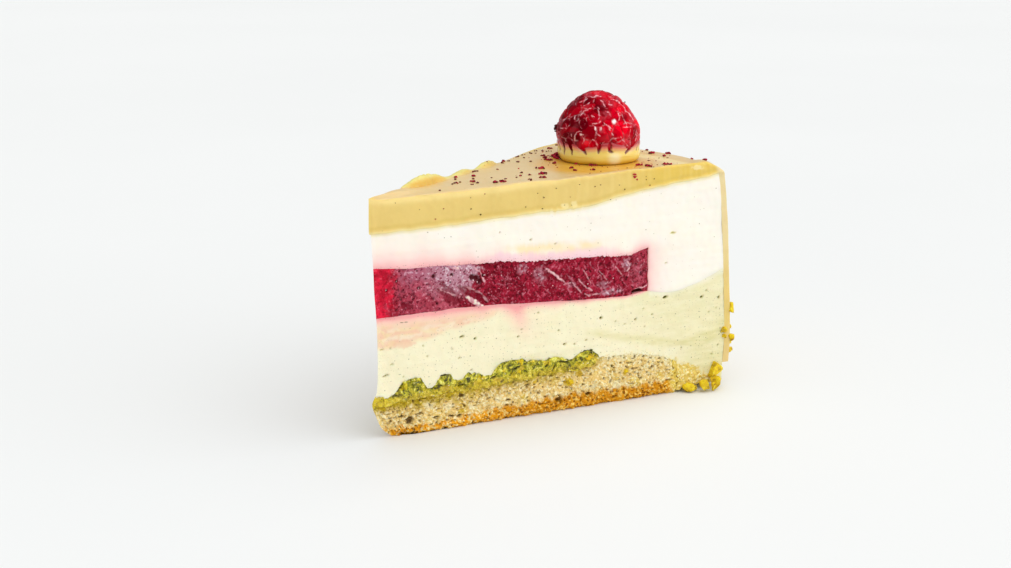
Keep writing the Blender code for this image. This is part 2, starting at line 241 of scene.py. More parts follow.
def stretched(tree, where, across, along):
    """A place in the cut scaled unevenly, for streaks: sizes in millimetres."""
    sockets = {"Vector": where, "Scale": (1 / along, 1 / across, 1)}
    return add_node(tree, "ShaderNodeMapping", sockets).outputs[0]


def pores(tree, cut, spacing, radius, share, seed):
    """Round spots in the cut, such as the holes a knife opens or painted glints: 1 inside one. Only a share
    of the cells holds one.
    """
    sockets = {"Vector": cut, "Location": (seed, seed * 0.7, 0), "Scale": (1 / spacing, 1.3 / spacing, 1)}
    scaled = add_node(tree, "ShaderNodeMapping", sockets).outputs[0]
    sockets = {"Vector": scaled, "Scale": 1.0, "Randomness": 0.85}
    cells = add_node(tree, "ShaderNodeTexVoronoi", sockets, voronoi_dimensions="2D")
    chance = add_node(tree, "ShaderNodeSeparateColor", {0: cells.outputs["Color"]}).outputs
    there = maths(tree, "LESS_THAN", chance[0], share)
    size = maths(tree, "MULTIPLY_ADD", chance[1], 0.7 * radius / spacing)
    size.node.inputs[2].default_value = 0.4 * radius / spacing
    inside = maths(tree, "SUBTRACT", size, cells.outputs["Distance"])
    soft = maths(tree, "DIVIDE", inside, 0.4 * radius / spacing, clamp=True)
    return maths(tree, "MULTIPLY", soft, there)


def bump(tree, height, distance):
    """Relief in the light only: distance is in millimetres."""
    return add_node(tree, "ShaderNodeBump", {"Height": height, "Distance": distance * MM}).outputs[0]


# %% [markdown]
# The boundary between two layers is one smooth line, used by the layer below as its top and by
# the layer above as its foot, so that they always meet. Each line is a few points along the
# cut, and a cubic curve runs through them. Smooth chance is added, so that no line looks
# ruled.

# %% Curves and chance


def on_curve(points, place):
    """The height of a smooth line through the points, at a distance from the tip."""
    place = min(max(place, points[0][0]), points[-1][0])
    index = next(i for i in range(len(points) - 1) if place <= points[i + 1][0])
    slopes = []
    for i in (index, index + 1):
        before, after = points[max(i - 1, 0)], points[min(i + 1, len(points) - 1)]
        slopes.append((after[1] - before[1]) / (after[0] - before[0]))
    (start, low), (end, high) = points[index], points[index + 1]
    span = end - start
    t = (place - start) / span
    return (
        low * (2 * t**3 - 3 * t**2 + 1)
        + high * (3 * t**2 - 2 * t**3)
        + slopes[0] * span * (t**3 - 2 * t**2 + t)
        + slopes[1] * span * (t**3 - t**2)
    )


def ease(value, start, end):
    """0 before start, 1 after end, smooth between."""
    share = min(max((value - start) / (end - start), 0.0), 1.0)
    return share * share * (3 - 2 * share)


def peak(value, middle, width):
    """1 at the middle, falling off smoothly to both sides."""
    return math.exp(-(((value - middle) / width) ** 2))


def wander(x, y, z, size):
    """Smooth chance between about -1 and 1, with lumps of the given size."""
    return noise.noise(Vector((x, y, z)) / size) * 1.6


def lumps(x, y, z, size):
    """Rounded lumps of the given size with creases between them: 0 in a crease, 1 on top."""
    near, after = noise.voronoi(Vector((x, y, z)) / size)[0][:2]
    return ease(after - near, 0.0, 0.45) * (1 - 0.4 * near)


def near_line(reach, height, line, soft):
    """1 on a short line in the cut and 0 away from it. Its ends taper."""
    x, y, end_x, end_y, width = line
    margin = width + soft
    if not min(x, end_x) - margin < reach < max(x, end_x) + margin:
        return 0.0
    dx, dy = end_x - x, end_y - y
    along = ((reach - x) * dx + (height - y) * dy) / (dx * dx + dy * dy)
    along = min(max(along, 0.0), 1.0)
    gap = math.hypot(reach - x - along * dx, height - y - along * dy)
    thin = width * (1 - abs(2 * along - 1) ** 3 * 0.8)
    return 1 - ease(gap, thin * 0.5, thin * 0.5 + soft)


# %% The layers' boundaries

SPONGE_END = 86.0
FILLING_END = 62.0
JELLY_END = 76.5
SPONGE_LINE = (
    (0, 8.0), (10, 8.8), (36, 9.4), (50, 10.0), (60, 10.6), (62, 12.4), (65, 12.4), (70, 12.1),
    (76, 11.6), (81, 10.3), (84, 9.1), (86, 8.4),
)
FILLING_LINE = (
    (0, 10.9), (2.9, 10.2), (4.7, 10.5), (5.6, 11.4), (6.3, 12.7), (7.6, 13.5), (9.1, 14.0), (11, 14.0),
    (12.3, 13.9), (12.8, 12.9), (13.2, 12.0), (14.0, 11.4), (15.0, 11.2), (16.0, 11.7), (16.9, 13.0),
    (17.6, 13.8), (18.5, 14.0), (20.3, 13.8), (20.8, 12.6), (22, 12.1), (23.5, 12.1), (24.6, 13.2),
    (26.3, 13.3), (28, 13.1), (29.3, 12.2), (30.6, 12.0), (31.8, 12.5), (33.3, 13.9), (35.2, 14.8),
    (38, 15.1), (40.5, 14.9), (41.3, 13.9), (42.3, 14.4), (43.5, 14.2), (45, 13.8), (46.6, 13.8),
    (48.9, 14.3), (51.2, 13.9), (52.5, 13.3), (54.4, 13.1), (56.1, 14.2), (59.5, 15.1), (61, 14.5),
    (62, 13.6),
)
MIDDLE_LINE = (
    (0, 29.8), (12, 29.9), (24, 30.05), (31, 29.8), (39, 29.25), (50, 28.7), (58, 28.1), (69, 27.75),
    (74, 28.1), (76.5, 28.3), (82, 27.3), (86, 27.6), (92.5, 29.3), (98.5, 32.0),
)
JELLY_LINE = (
    (0, 42.0), (3.5, 41.75), (7, 41.35), (17, 41.05), (23, 40.65), (27, 40.4), (31, 40.45), (37, 40.0),
    (42, 39.5), (49, 39.25), (62, 38.7), (69, 38.15), (72, 38.3), (74.7, 39.1), (76.5, 39.7),
)
GLAZE_FOOT = (
    (0, 50.45), (7, 50.4), (17, 50.45), (31, 50.95), (45, 51.5), (50.5, 51.35), (55, 51.5), (60, 51.9),
    (64, 52.8), (70, 53.8), (83, 55.4), (93, 56.1), (98.5, 56.9),
)
MOUSSE_FOOT = ((86, 0.5), (88, 0.9), (90, 1.4), (94, 1.4), (98.5, 1.3))
SKIN_FOOT = 6.4


def sponge_top(reach, share):
    return on_curve(SPONGE_LINE, reach) + 0.3 * wander(reach, share * 20, 3, 1.7)


def filling_top(reach, share):
    knobs = 0.14 * wander(reach, share * 24, 7, 1.6) + 0.30 * wander(reach, share * 24, 9, 0.8)
    back = on_curve(FILLING_LINE, max(reach - 4, 0)) - 0.4
    front = on_curve(FILLING_LINE, reach)
    return front + (back - front) * share + knobs


def mousse_foot(reach, share):
    return on_curve(MOUSSE_FOOT, reach) + 0.4 * wander(reach, share * 60, 5, 3)


def middle(reach, share):
    """Top of the pistachio mousse, under the jelly and beyond it."""
    return on_curve(MIDDLE_LINE, reach) + 0.12 * wander(reach, share * 20, 11, 4)


def jelly_top(reach, share):
    torn = 0.28 * wander(reach, share * 40, 17, 0.6) * ease(reach, 24, 32) * (1 - ease(reach, 70, 75))
    return on_curve(JELLY_LINE, reach) + 0.14 * wander(reach, share * 20, 15, 4) + torn


def glaze_foot(reach, share):
    burrs = 0.35 * wander(reach, share * 24, 18, 0.9) * peak(reach, 52, 5)
    return on_curve(GLAZE_FOOT, reach) + 0.12 * wander(reach, share * 24, 19, 3) - burrs


def skin_foot(reach, share):
    return SKIN_FOOT + 0.7 * wander(share * 56, 0, 21, 4) + 0.5 * wander(share * 56, 0, 23, 1.2)


print("jelly is", round(jelly_top(40, 0) - middle(40, 0), 1), "mm thick 40 mm out")

# %% [markdown]
# Each layer starts as a flat grid that stands in the front cut face. Spinning it round the tip
# by the wedge's angle gives a closed block: both cut faces keep the fine grid, and the rest has
# only as many faces as the spin has steps. A layer that steps down past the end of another one
# is made in bands: the lower band keeps only its outer cells, so the grid stays square
# there. Extruding an outline would give large flat faces that could carry no relief.

# %% A wedge block


def evenly(start, end, size):
    """Places from start to end about one size apart, with both ends."""
    count = max(1, round((end - start) / size))
    return [start + (end - start) * i / count for i in range(count + 1)]


def wedge_block(reaches, band_rows, steps, missing=None):
    """A wedge whose bands are each one unit high. missing(reach, level) names left-out cells."""
    bm = bmesh.new()
    columns, rows = len(reaches) - 1, sum(band_rows)
    levels = [0.0]
    for band, count in enumerate(band_rows):
        levels += [band + (i + 1) / count for i in range(count)]
    bmesh.ops.create_grid(bm, x_segments=columns, y_segments=rows, size=0.5)
    for vert in bm.verts:
        reach = reaches[round((vert.co.x + 0.5) * columns)]
        level = levels[round((vert.co.y + 0.5) * rows)]
        vert.co = (reach * math.cos(HALF), -reach * math.sin(HALF), level)
    if missing:
        middles = [(face, face.calc_center_median()) for face in bm.faces]
        gone = [face for face, centre in middles if missing(centre.xy.length, centre.z)]
        bmesh.ops.delete(bm, geom=gone, context="FACES")
    everything = bm.verts[:] + bm.edges[:] + bm.faces[:]
    bmesh.ops.spin(bm, geom=everything, cent=(0, 0, 0), axis=(0, 0, 1), angle=WEDGE, steps=steps)
    bmesh.ops.remove_doubles(bm, verts=bm.verts[:], dist=0.0005)
    bmesh.ops.recalc_face_normals(bm, faces=bm.faces[:])
    return bm


# %% [markdown]
# The block then takes its layer's shape. Every vertex knows how far out it is, how far round
# and how high. From these it gets its height between the boundary lines, a small step in or
# out of the cut for the marks of the knife, and the numbers that the finish reads, such as how
# much pink has bled into it. The tip stands back unevenly, because the knife drags it, and the
# inner layers' ends wander a little, because they were cut by hand.

# %% Shaping a layer
TIP_LINE = (
    (0, 5.4), (1.2, 3.6), (2.7, 2.0), (5.5, 0.6), (9, -0.7), (12, 0.8), (23, 1.2), (31, 0.9), (36, 0.5),
    (42, 0.3), (51, -0.3), (59, -0.2),
)


def drift(reach, height, share):
    shift = 0.0
    for end, size in ((FILLING_END, 0.5), (JELLY_END, 0.2), (SPONGE_END, 0.9)):
        shift += size * wander(height, share * 20, end, 2.2) * peak(reach, end, 1.6)
    return shift


def shape_layer(bm, lines, relief, marks, inward=None):
    """Give a block its form. relief, marks and inward are functions of a place in the layer."""
    layers = {name: bm.verts.layers.float.new(name) for name in marks}
    for vert in bm.verts:
        reach = vert.co.xy.length
        angle = math.atan2(vert.co.y, vert.co.x) if reach > 0.01 else 0.0
        share = (angle + HALF) / WEDGE
        level = vert.co.z
        band = min(int(level), len(lines) - 2)
        low, high = lines[band](reach, share), lines[band + 1](reach, share)
        height = low + (level - band) * (high - low)
        out_of_cut = Vector((-math.sin(HALF), math.copysign(math.cos(HALF), share - 0.5), 0))
        outward = Vector((math.cos(angle), math.sin(angle), 0))
        vert.co.z = height
        if min(share, 1 - share) < 0.0005 and reach > 0.01:
            side = -1 if share < 0.5 else 1
            vert.co += out_of_cut * relief(reach, height, side) * ease(reach, 0, 1.2)
        elif inward:
            vert.co -= out_of_cut * inward(reach, min(share, 1 - share) * WEDGE * reach, level)
        vert.co.x += on_curve(TIP_LINE, height) * (1 - ease(reach, 0, 12))
        lean = on_curve(RIM_LINE, height) * ease(reach, 87, MOUSSE_RIM)
        vert.co += outward * (lean + drift(reach, height, share))
        for name, layer in layers.items():
            vert[layer] = marks[name](reach, height, share)


def settle(bm, name, finish, replaced=None):
    """Move a shaped bmesh to its place, make it an object, and let it ride on the slice."""
    bmesh.ops.transform(bm, matrix=Matrix.Scale(MM, 4) @ Matrix.Translation(TIP), verts=bm.verts[:])
    mesh = bpy.data.meshes.new(name)
    bm.to_mesh(mesh)
    bm.free()
    mesh.materials.append(finish)
    mesh.shade_smooth()
    mesh.set_sharp_from_angle(angle=math.radians(60))
    piece = bpy.data.objects.new(name, mesh)
    scene.collection.objects.link(piece)
    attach(piece, "root")
    if replaced:
        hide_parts(replaced)
    print(name, len(mesh.polygons), "faces")
    return piece


# %% [markdown]
# The base is a thin yellow sponge with a browned underside. A knife tears crumb instead of
# cutting it, so the face is rough: lumps with creases between them, small pits, and here and
# there a deep hole. These are in the mesh, a quarter of a millimetre fine. Its foot is worn
# round, and ragged where the crust has crumbled.

# %% Sponge
CRUST_LINE = ((0, 2.4), (9, 1.9), (15, 1.8), (28, 2.8), (48, 3.6), (59, 3.7), (75, 3.3), (86, 3.9))


def crust_line(reach, share):
    ragged = 0.75 * wander(reach, share * 20, 2, 1.6) + 0.35 * wander(reach, share * 20, 4, 0.6)
    return on_curve(CRUST_LINE, reach) + ragged


HOLES = (
    (9.2, 3.4, 1.2, 0.9), (6.8, 4.8, 1.1, 0.3), (12.0, 4.9, 0.8, 0.3), (20.5, 3.1, 1.0, 0.3),
    (22.7, 2.8, 0.7, 0.35), (24.1, 5.0, 0.4, 0.3), (23.3, 7.9, 0.8, 0.4), (13.4, 8.7, 0.8, 0.25),
    (16.4, 3.4, 0.7, 0.25), (50.6, 3.0, 1.2, 0.8), (59.2, 3.4, 1.0, 0.45), (75.7, 11.0, 0.5, 0.3),
    (73.0, 11.4, 0.4, 0.25), (78.0, 8.0, 0.4, 0.3), (74.9, 5.3, 0.6, 0.3), (63.9, 6.8, 0.35, 0.25),
    (66.4, 9.6, 0.3, 0.25), (69.0, 10.2, 0.35, 0.25), (80.3, 8.9, 0.4, 0.25), (45.0, 5.4, 0.5, 0.25),
    (36.4, 5.0, 0.45, 0.25), (31.0, 6.2, 0.4, 0.25), (41.5, 7.6, 0.35, 0.25), (57.4, 6.0, 0.4, 0.25),
    (3.4, 4.0, 0.5, 0.3),
)
GOLDEN = (
    (53.6, 7.2, 1.5, 1.4), (70.2, 7.6, 0.9, 1.2), (56.8, 8.9, 1.1, 1.0), (23.2, 3.9, 1.0, 0.7),
    (44.0, 8.6, 1.0, 0.5),
)
PALE = (
    (20.0, 5.7, 1.4, 0.8), (67.9, 4.6, 1.6, 1.2), (60.9, 5.3, 1.3, 0.9), (14.5, 6.4, 1.2, 0.8),
    (33.5, 5.9, 1.2, 0.8),
)


def in_spots(reach, height, share, spots):
    """1 inside one of the uneven patches of a list: place, height, half width and half height."""
    if share > 0.5:
        reach, height = reach - 6, height + 0.4
    ragged = 0.3 * wander(reach, height, 50, 0.7)
    near = [spot for spot in spots if abs(reach - spot[0]) < spot[2] * 1.5]
    gaps = (math.hypot((reach - x) / wide, (height - y) / tall) + ragged for x, y, wide, tall in near)
    return max((1 - ease(gap, 0.65, 1.1) for gap in gaps), default=0.0)


def pitted(reach, height, share):
    chance = 0.7 * ease(wander(reach, share * 70, height * 1.6, 0.9), 0.55, 0.8)
    return max(chance, in_spots(reach, height, share, HOLES))


def merged(reach, height, share):
    """Where the sponge's edge runs into the mousse, beyond the filling."""
    from_top = height - sponge_top(reach, share) + 0.7 * wander(reach, share * 20, height, 1.3)
    return ease(reach, 61.5, 65) * ease(from_top, -2.0, -0.2)


def sponge_relief(reach, height, side):
    share = 0.0 if side < 0 else 1.0
    crumb = 0.42 * lumps(reach, side * 30, height, 0.9) + 0.32 * wander(reach, side * 50, height, 0.5)
    swell = 0.35 * wander(reach, side * 30, height, 3.5)
    foot = 0.9 * (1 - ease(height, 0.0, 0.9)) * (0.8 + 0.6 * wander(reach, side * 9, 0, 1.2))
    flush = 1 - 0.75 * max(merged(reach, height, share), ease(reach, 82, 85))
    return (crumb + swell - 0.35) * flush - 0.8 * pitted(reach, height, share) - foot


def crust(reach, height, share):
    line = crust_line(reach, share)
    return 1 - ease(height, line - 0.4, line + 0.5)


def soaked(reach, height, share):
    lower = on_curve(((0, 5.2), (12, 5.0), (30, 6.4), (50, 7.6), (66, 9.0)), reach)
    ragged = 1.1 * wander(reach, share * 20, height, 1.8) + 0.6 * wander(reach, share * 20, height, 0.7)
    return (1 - ease(reach, 58, 66)) * ease(height + ragged, lower, lower + 3.4)


sponge_marks = {
    "crust": crust,
    "toasted": lambda reach, height, share: ease(reach + 3 * wander(reach, share * 20, 6, 3), 22, 50),
    "soaked": soaked,
    "merged": merged,
    "pit": pitted,
    "yellow": lambda reach, height, share: ease(
        reach + 0.8 * wander(reach, share * 20, height, 2), 83.2, 84.8
    ),
    "golden": lambda reach, height, share: in_spots(reach, height, share, GOLDEN),
    "pale": lambda reach, height, share: in_spots(reach, height, share, PALE),
}
sponge_columns = evenly(0, FILLING_END, 0.25) + evenly(FILLING_END, SPONGE_END, 0.25)[1:]
sponge_block = wedge_block(sponge_columns, [42], 18)
shape_layer(sponge_block, [lambda reach, share: 0.0, sponge_top], sponge_relief, sponge_marks)

# %% [markdown]
# Sponge is a mix of three tones: pale grains of sugar and flour, the yellow crumb, and dark cells between
# them. The mix is made of grains about half a millimetre across, each with its own tone. The crust has the
# same grains in browner tones. The top is stained green by the filling. The pits and holes of the mesh are
# painted dark, as the shade inside them.

# %% Sponge finish
sponge_finish, tree, shader = new_finish("Sponge", 0.85, shine=0.25, soft=0.15)
block = place_in_block(tree)
crumb, chance = grains(
    tree, block, 0.50, (0.30, 0.18, 0.035), (0.90, 0.66, 0.25), (1.0, 0.88, 0.54), 0.17, 0.62
)
browned, chance = grains(
    tree, block, 0.55, (0.22, 0.055, 0.001), (0.92, 0.42, 0.010), (1.0, 0.80, 0.34), 0.20, 0.64
)
toasted, chance = grains(
    tree, block, 0.55, (0.20, 0.045, 0.002), (0.76, 0.33, 0.006), (1.0, 0.68, 0.16), 0.22, 0.70
)
stained, chance = grains(
    tree, block, 0.50, (0.20, 0.14, 0.004), (0.56, 0.40, 0.016), (0.86, 0.66, 0.14), 0.22, 0.72
)
golden, chance = grains(
    tree, block, 0.5, (0.46, 0.29, 0.02), (0.80, 0.58, 0.10), (0.97, 0.85, 0.40), 0.18, 0.66
)
creamy_crumb, chance = grains(
    tree, block, 0.42, (0.36, 0.28, 0.08), (0.88, 0.72, 0.36), (0.96, 0.89, 0.60), 0.20, 0.62
)
patch = cloud(tree, block, 3.5, 3)
colour = blend(tree, rise(tree, patch, 0.5, 0.78), crumb, golden)
colour = blend(tree, mark(tree, "soaked"), colour, stained)
colour = blend(tree, mark(tree, "merged"), colour, creamy_crumb)
colour = blend(tree, mark(tree, "crust"), colour, blend(tree, mark(tree, "toasted"), browned, toasted))
colour = blend(tree, mark(tree, "golden", 0.85), colour, (0.70, 0.47, 0.02))
colour = blend(tree, mark(tree, "pale", 0.8), colour, (0.97, 0.86, 0.54))
colour = blend(tree, mark(tree, "yellow"), colour, golden)
# Painted shade: the pits and holes are painted dark, as the shade inside them.
colour = blend(tree, mark(tree, "pit", 0.9), colour, (0.13, 0.060, 0.004))
tree.links.new(colour, shader.inputs["Base Color"])
tree.links.new(bump(tree, chance, 0.3), shader.inputs["Normal"])
settle(sponge_block, "cake_sponge", sponge_finish, "sponge_base")

# %% [markdown]
# On the sponge lies a spoonful of ground pistachio in its own paste, wet and lumpy. Its lumps stand out of
# the cut, with small glints painted on as pale spots, and here and there a dark gap is left under one,
# painted dark as the shade there. Rounded cells of chance looked like beads or scales, so the lumps are
# smooth noise in three sizes, and the finer grain is colour.

# %% Ground pistachio filling
GAPS = (
    (37.4, 12.7, 40.8, 13.7, 0.22), (57.0, 14.4, 58.8, 15.1, 0.18), (58.8, 15.1, 61.2, 14.4, 0.22),
    (6.2, 12.0, 7.6, 12.4, 0.2), (16.6, 11.6, 18.0, 11.2, 0.2), (46.6, 12.0, 47.4, 13.2, 0.2),
    (48.8, 11.2, 49.4, 12.3, 0.15), (50.4, 13.0, 53.0, 12.6, 0.2), (5.0, 10.6, 6.2, 10.2, 0.3),
    (22.6, 10.4, 24.0, 10.8, 0.2), (31.2, 11.2, 32.6, 11.5, 0.2), (16.4, 13.6, 19.4, 13.9, 0.2),
)


# A dark gap under a lump: sunk into the cut, and painted dark as the shade under the lump.
def shaded_gap_under(reach, height, share):
    if share > 0.5:
        reach -= 3
    return max(near_line(reach, height, line, 0.22) for line in GAPS)


def filling_relief(reach, height, side):
    lump = 0.50 * wander(reach, side * 40 + 4, height, 2.3)
    grain = 0.32 * wander(reach, side * 40 + 8, height, 1.1) + 0.16 * wander(reach, side * 40, height, 0.5)
    return lump + grain + 0.15 - 0.5 * shaded_gap_under(reach, height, 0.0 if side < 0 else 1.0)


GOLDEN_GRAINS = (
    (19.2, 10.7, 1.4, 0.9), (39.5, 12.4, 1.6, 0.7), (33.0, 10.9, 1.6, 0.7), (27.0, 10.6, 1.0, 0.6),
)
filling_marks = {
    "upper": lambda reach, height, share: ease(
        height - sponge_top(reach, share) + 0.9 * wander(reach, share * 20, height, 1.8), 0.9, 2.8
    ),
    "paste": lambda reach, height, share: 1
    - ease(height - sponge_top(reach, share) + 0.7 * wander(reach, share * 20, height, 1.3), 0.1, 1.6),
    "tip": lambda reach, height, share: 1 - ease(reach + 0.8 * wander(reach, 9, height, 1.5), 2.6, 5.6),
    "gap": shaded_gap_under,
    "golden": lambda reach, height, share: in_spots(reach, height, share, GOLDEN_GRAINS),
}
filling_block = wedge_block(evenly(0, FILLING_END, 0.22), [26], 18)
shape_layer(filling_block, [sponge_top, filling_top], filling_relief, filling_marks)

# %% Filling finish
filling_finish, tree, shader = new_finish("Ground pistachio", 0.30, shine=0.45, soft=0.3)
block = place_in_block(tree)
sockets = {"Vector": block, "Scale": 1 / 1.1, "Detail": 5.0, "Roughness": 0.72, "Distortion": 0.4}
mix = add_node(tree, "ShaderNodeTexNoise", sockets).outputs["Fac"]
green = tones(
    tree,
    mix,
    (0.42, 0.465, 0.52, 0.585),
    (
        (0.040, 0.036, 0.001), (0.175, 0.175, 0.003), (0.38, 0.365, 0.008), (0.65, 0.57, 0.018),
        (0.94, 0.88, 0.20),
    ),
)
olive = tones(
    tree,
    mix,
    (0.41, 0.46, 0.53, 0.60),
    (
        (0.09, 0.07, 0.001), (0.29, 0.24, 0.004), (0.49, 0.40, 0.009), (0.71, 0.57, 0.022),
        (0.93, 0.79, 0.18),
    ),
)
paste = tones(
    tree,
    mix,
    (0.39, 0.45, 0.54, 0.62),
    ((0.14, 0.10, 0.003), (0.34, 0.25, 0.006), (0.56, 0.42, 0.014), (0.74, 0.56, 0.04), (0.90, 0.70, 0.16)),
)
yellow = tones(
    tree,
    mix,
    (0.40, 0.50, 0.61),
    ((0.26, 0.18, 0.002), (0.56, 0.41, 0.005), (0.76, 0.58, 0.010), (0.92, 0.78, 0.12)),
)
colour = blend(tree, mark(tree, "upper"), olive, green)
colour = blend(tree, rise(tree, cloud(tree, block, 2.2, 1), 0.60, 0.66), colour, yellow)
colour = blend(tree, mark(tree, "paste", 0.9), colour, paste)
colour = blend(tree, mark(tree, "tip"), colour, yellow)
colour = blend(tree, mark(tree, "golden", 0.8), colour, (0.70, 0.50, 0.04))
# Painted shade: the gaps under the lumps are painted nearly black.
colour = blend(tree, mark(tree, "gap", 0.9), colour, (0.045, 0.035, 0.002))
# Painted highlights: small pale spots stand in for glints on the wet paste.
glints = pores(tree, place_in_cut(tree), 1.6, 0.26, 0.32, 3.1)
colour = blend(tree, maths(tree, "MULTIPLY", glints, 0.8), colour, (0.97, 0.96, 0.78))
tree.links.new(colour, shader.inputs["Base Color"])
tree.links.new(bump(tree, mix, 0.45), shader.inputs["Normal"])
settle(filling_block, "ground_pistachio", filling_finish, "pistachio_filling")

# %% [markdown]
# Both mousses are soft and nearly smooth. The knife leaves very low waves, and faint streaks
# along its way. Where it has opened an air bubble there is a pore, wider than it is high. The
# larger pores of the front face are placed one by one, and the far face repeats them 5 mm
# nearer the tip. The foot of the pistachio mousse is crumbly behind the sponge, where the cake
# was pressed into chopped nuts.

# %% Pistachio mousse
PORES = (
    (2.3, 15.6, 1.05, 0.24), (1.3, 22.1, 0.60, 0.20), (23.5, 22.7, 0.75, 0.30),
    (27.1, 21.8, 0.40, 0.32), (13.0, 21.8, 0.24, 0.22), (14.1, 19.0, 0.24, 0.22),
    (22.7, 17.5, 0.38, 0.22), (4.0, 18.2, 0.50, 0.20), (20.7, 20.0, 0.33, 0.18),
    (7.3, 14.8, 0.20, 0.20), (3.6, 22.1, 0.20, 0.20), (38.9, 20.9, 0.28, 0.24),
    (25.9, 14.0, 0.45, 0.18), (52.3, 17.2, 0.50, 0.28), (55.1, 16.9, 0.30, 0.25),
    (50.5, 21.0, 0.28, 0.26), (58.5, 17.5, 0.38, 0.20), (62.9, 22.8, 0.44, 0.38),
    (73.0, 21.2, 0.37, 0.28), (77.9, 21.9, 0.32, 0.24), (67.0, 21.4, 0.22, 0.20),
    (69.8, 20.3, 0.37, 0.20), (75.1, 23.8, 0.27, 0.18), (44.6, 26.3, 0.25, 0.23),
    (39.9, 22.6, 0.35, 0.20), (75.7, 19.0, 0.21, 0.20), (81.8, 26.0, 0.80, 0.42),
    (92.4, 24.8, 0.44, 0.38), (97.0, 24.1, 0.31, 0.47), (93.6, 26.4, 0.33, 0.24),
    (96.2, 21.3, 0.20, 0.20), (94.2, 20.5, 0.20, 0.20), (86.8, 11.9, 0.24, 0.24),
    (96.6, 11.2, 0.27, 0.24), (95.2, 9.0, 0.27, 0.24), (42.5, 44.9, 0.41, 0.25),
    (49.3, 43.3, 0.36, 0.20), (33.7, 47.6, 0.20, 0.20), (83.7, 42.7, 0.62, 0.22),
    (81.9, 35.0, 0.45, 0.22),
)
PORES_NEAR = {place: [pore for pore in PORES if abs(pore[0] - place) < 2.2] for place in range(-1, 110)}


def pored(reach, height, share):
    if share > 0.5:
        reach, height = reach + 5, height + 1.2
    deepest = 0.0
    for x, y, wide, tall in PORES_NEAR[round(reach)]:
        gap = math.hypot((reach - x) / wide, (height - y - 0.2 * (reach - x)) / tall)
        deepest = max(deepest, (1 - ease(gap, 0.5, 1.25)) * min(tall / 0.3, 1.0))
    return deepest


def mousse_relief(reach, height, side):
    waves = 0.20 * wander(reach, side * 30, height, 9) + 0.05 * wander(reach, side * 30, height, 1.8)
    streaks = 0.06 * wander(reach / 14, side * 30, height, 1.4)
    return waves + streaks - 0.6 * pored(reach, height, 0.0 if side < 0 else 1.0)


ROUGH_FOOT = (
    (80, 9.8), (84, 9.4), (87, 8.6), (90, 7.2), (92, 5.8), (93.5, 4.7), (95.5, 3.6), (99, 1.4),
)


def crumbly(reach, height, share):
    """Where the mousse's foot is rough with nuts: 1 in the lower outer corner."""
    edge = (
        height
        + 0.9 * wander(reach, share * 20, height, 1.8)
        + 0.7 * wander(reach, share * 20, height, 0.7)
        - on_curve(ROUGH_FOOT, reach)
    )
    return ease(reach, 79, 82) * (1 - ease(edge, -1.3, 0.5))


def dusted(reach, height, share):
    """Where crumbs of the sponge have run into the mousse above it."""
    above = height - sponge_top(reach, share) + 0.8 * wander(reach, share * 20, height, 1.1)
    return ease(reach, 61, 64) * (1 - ease(reach, 79, 83)) * (1 - ease(above, 0.0, 1.3))


def pistachio_relief(reach, height, side):
    rough = 0.35 * lumps(reach, side * 20, height, 1.1) + 0.30 * wander(reach, side * 20, height, 0.6) - 0.1
    return mousse_relief(reach, height, side) + rough * crumbly(reach, height, 0.0 if side < 0 else 1.0)


def bleed(reach, height, share):
    """How red the mousse is at a depth under the jelly."""
    below = middle(reach, share) - height
    depth = on_curve(((0, 1.5), (16, 1.3), (34, 1.4), (50, 0.8), (70, 0.4), (76, 0.25)), reach)
    depth *= 1 + 0.35 * wander(reach, share * 9, 33, 4)
    band = math.exp(-max(below, 0) / depth) * (1 - ease(reach, 74, 78))
    run_at = 38.9 + 0.12 * below + 0.35 * wander(0, 0, below, 3)
    run = peak(reach, run_at, 1.6 + 0.1 * below) * (1 - ease(below, 1.5, 9.5))
    faint = 0.5 * peak(reach, 42, 5) * (1 - ease(below, 7, 13))
    return min(1.0, 1.3 * band + 0.42 * run + 0.3 * faint)


def peach(reach, height, share):
    """The warm stain below the jelly, near the tip, with a soft lower edge."""
    below = middle(reach, share) - height
    lower = on_curve(((0, 8.1), (8, 7.6), (14, 6.4), (21, 5.3), (27, 4.4), (34, 2.6), (40, 0.0)), reach)
    lower += 0.7 * wander(reach, share * 9, 41, 4)
    patchy = min(0.9 + 0.35 * wander(reach / 2, share * 9, below, 1.6), 1.0)
    return (1 - ease(below, lower - 1.3, lower + 0.5)) * (1 - ease(reach, 30, 40)) * patchy


def fade(reach, height, share):
    """Where the two mousses have mixed, beyond the jelly: 1 on their border."""
    apart = abs(height - middle(reach, share) + 0.5 * wander(reach, share * 9, 43, 3))
    return (1 - ease(apart, 0.0, 1.8)) * ease(reach, JELLY_END - 0.2, JELLY_END + 1.0)


def greener(reach, height, share):
    """Where the pistachio paste was folded in less well."""
    line = on_curve(
        ((56, 19.6), (62, 18.9), (69, 16.9), (77, 15.2), (85, 13.4), (93.4, 13.8), (98.5, 17.0)), reach
    )
    streak = peak(height, line, 1.2 + 0.5 * wander(reach, 3, 3, 5)) * ease(reach, 56, 63)
    region = ease(reach + 0.8 * (height - 20), 64, 86) * ease(height, 11, 15)
    return min(1.0, 0.65 * streak + 0.5 * region + 0.8 * ease(reach, 82, 93) * (1 - ease(height, 9, 17)))


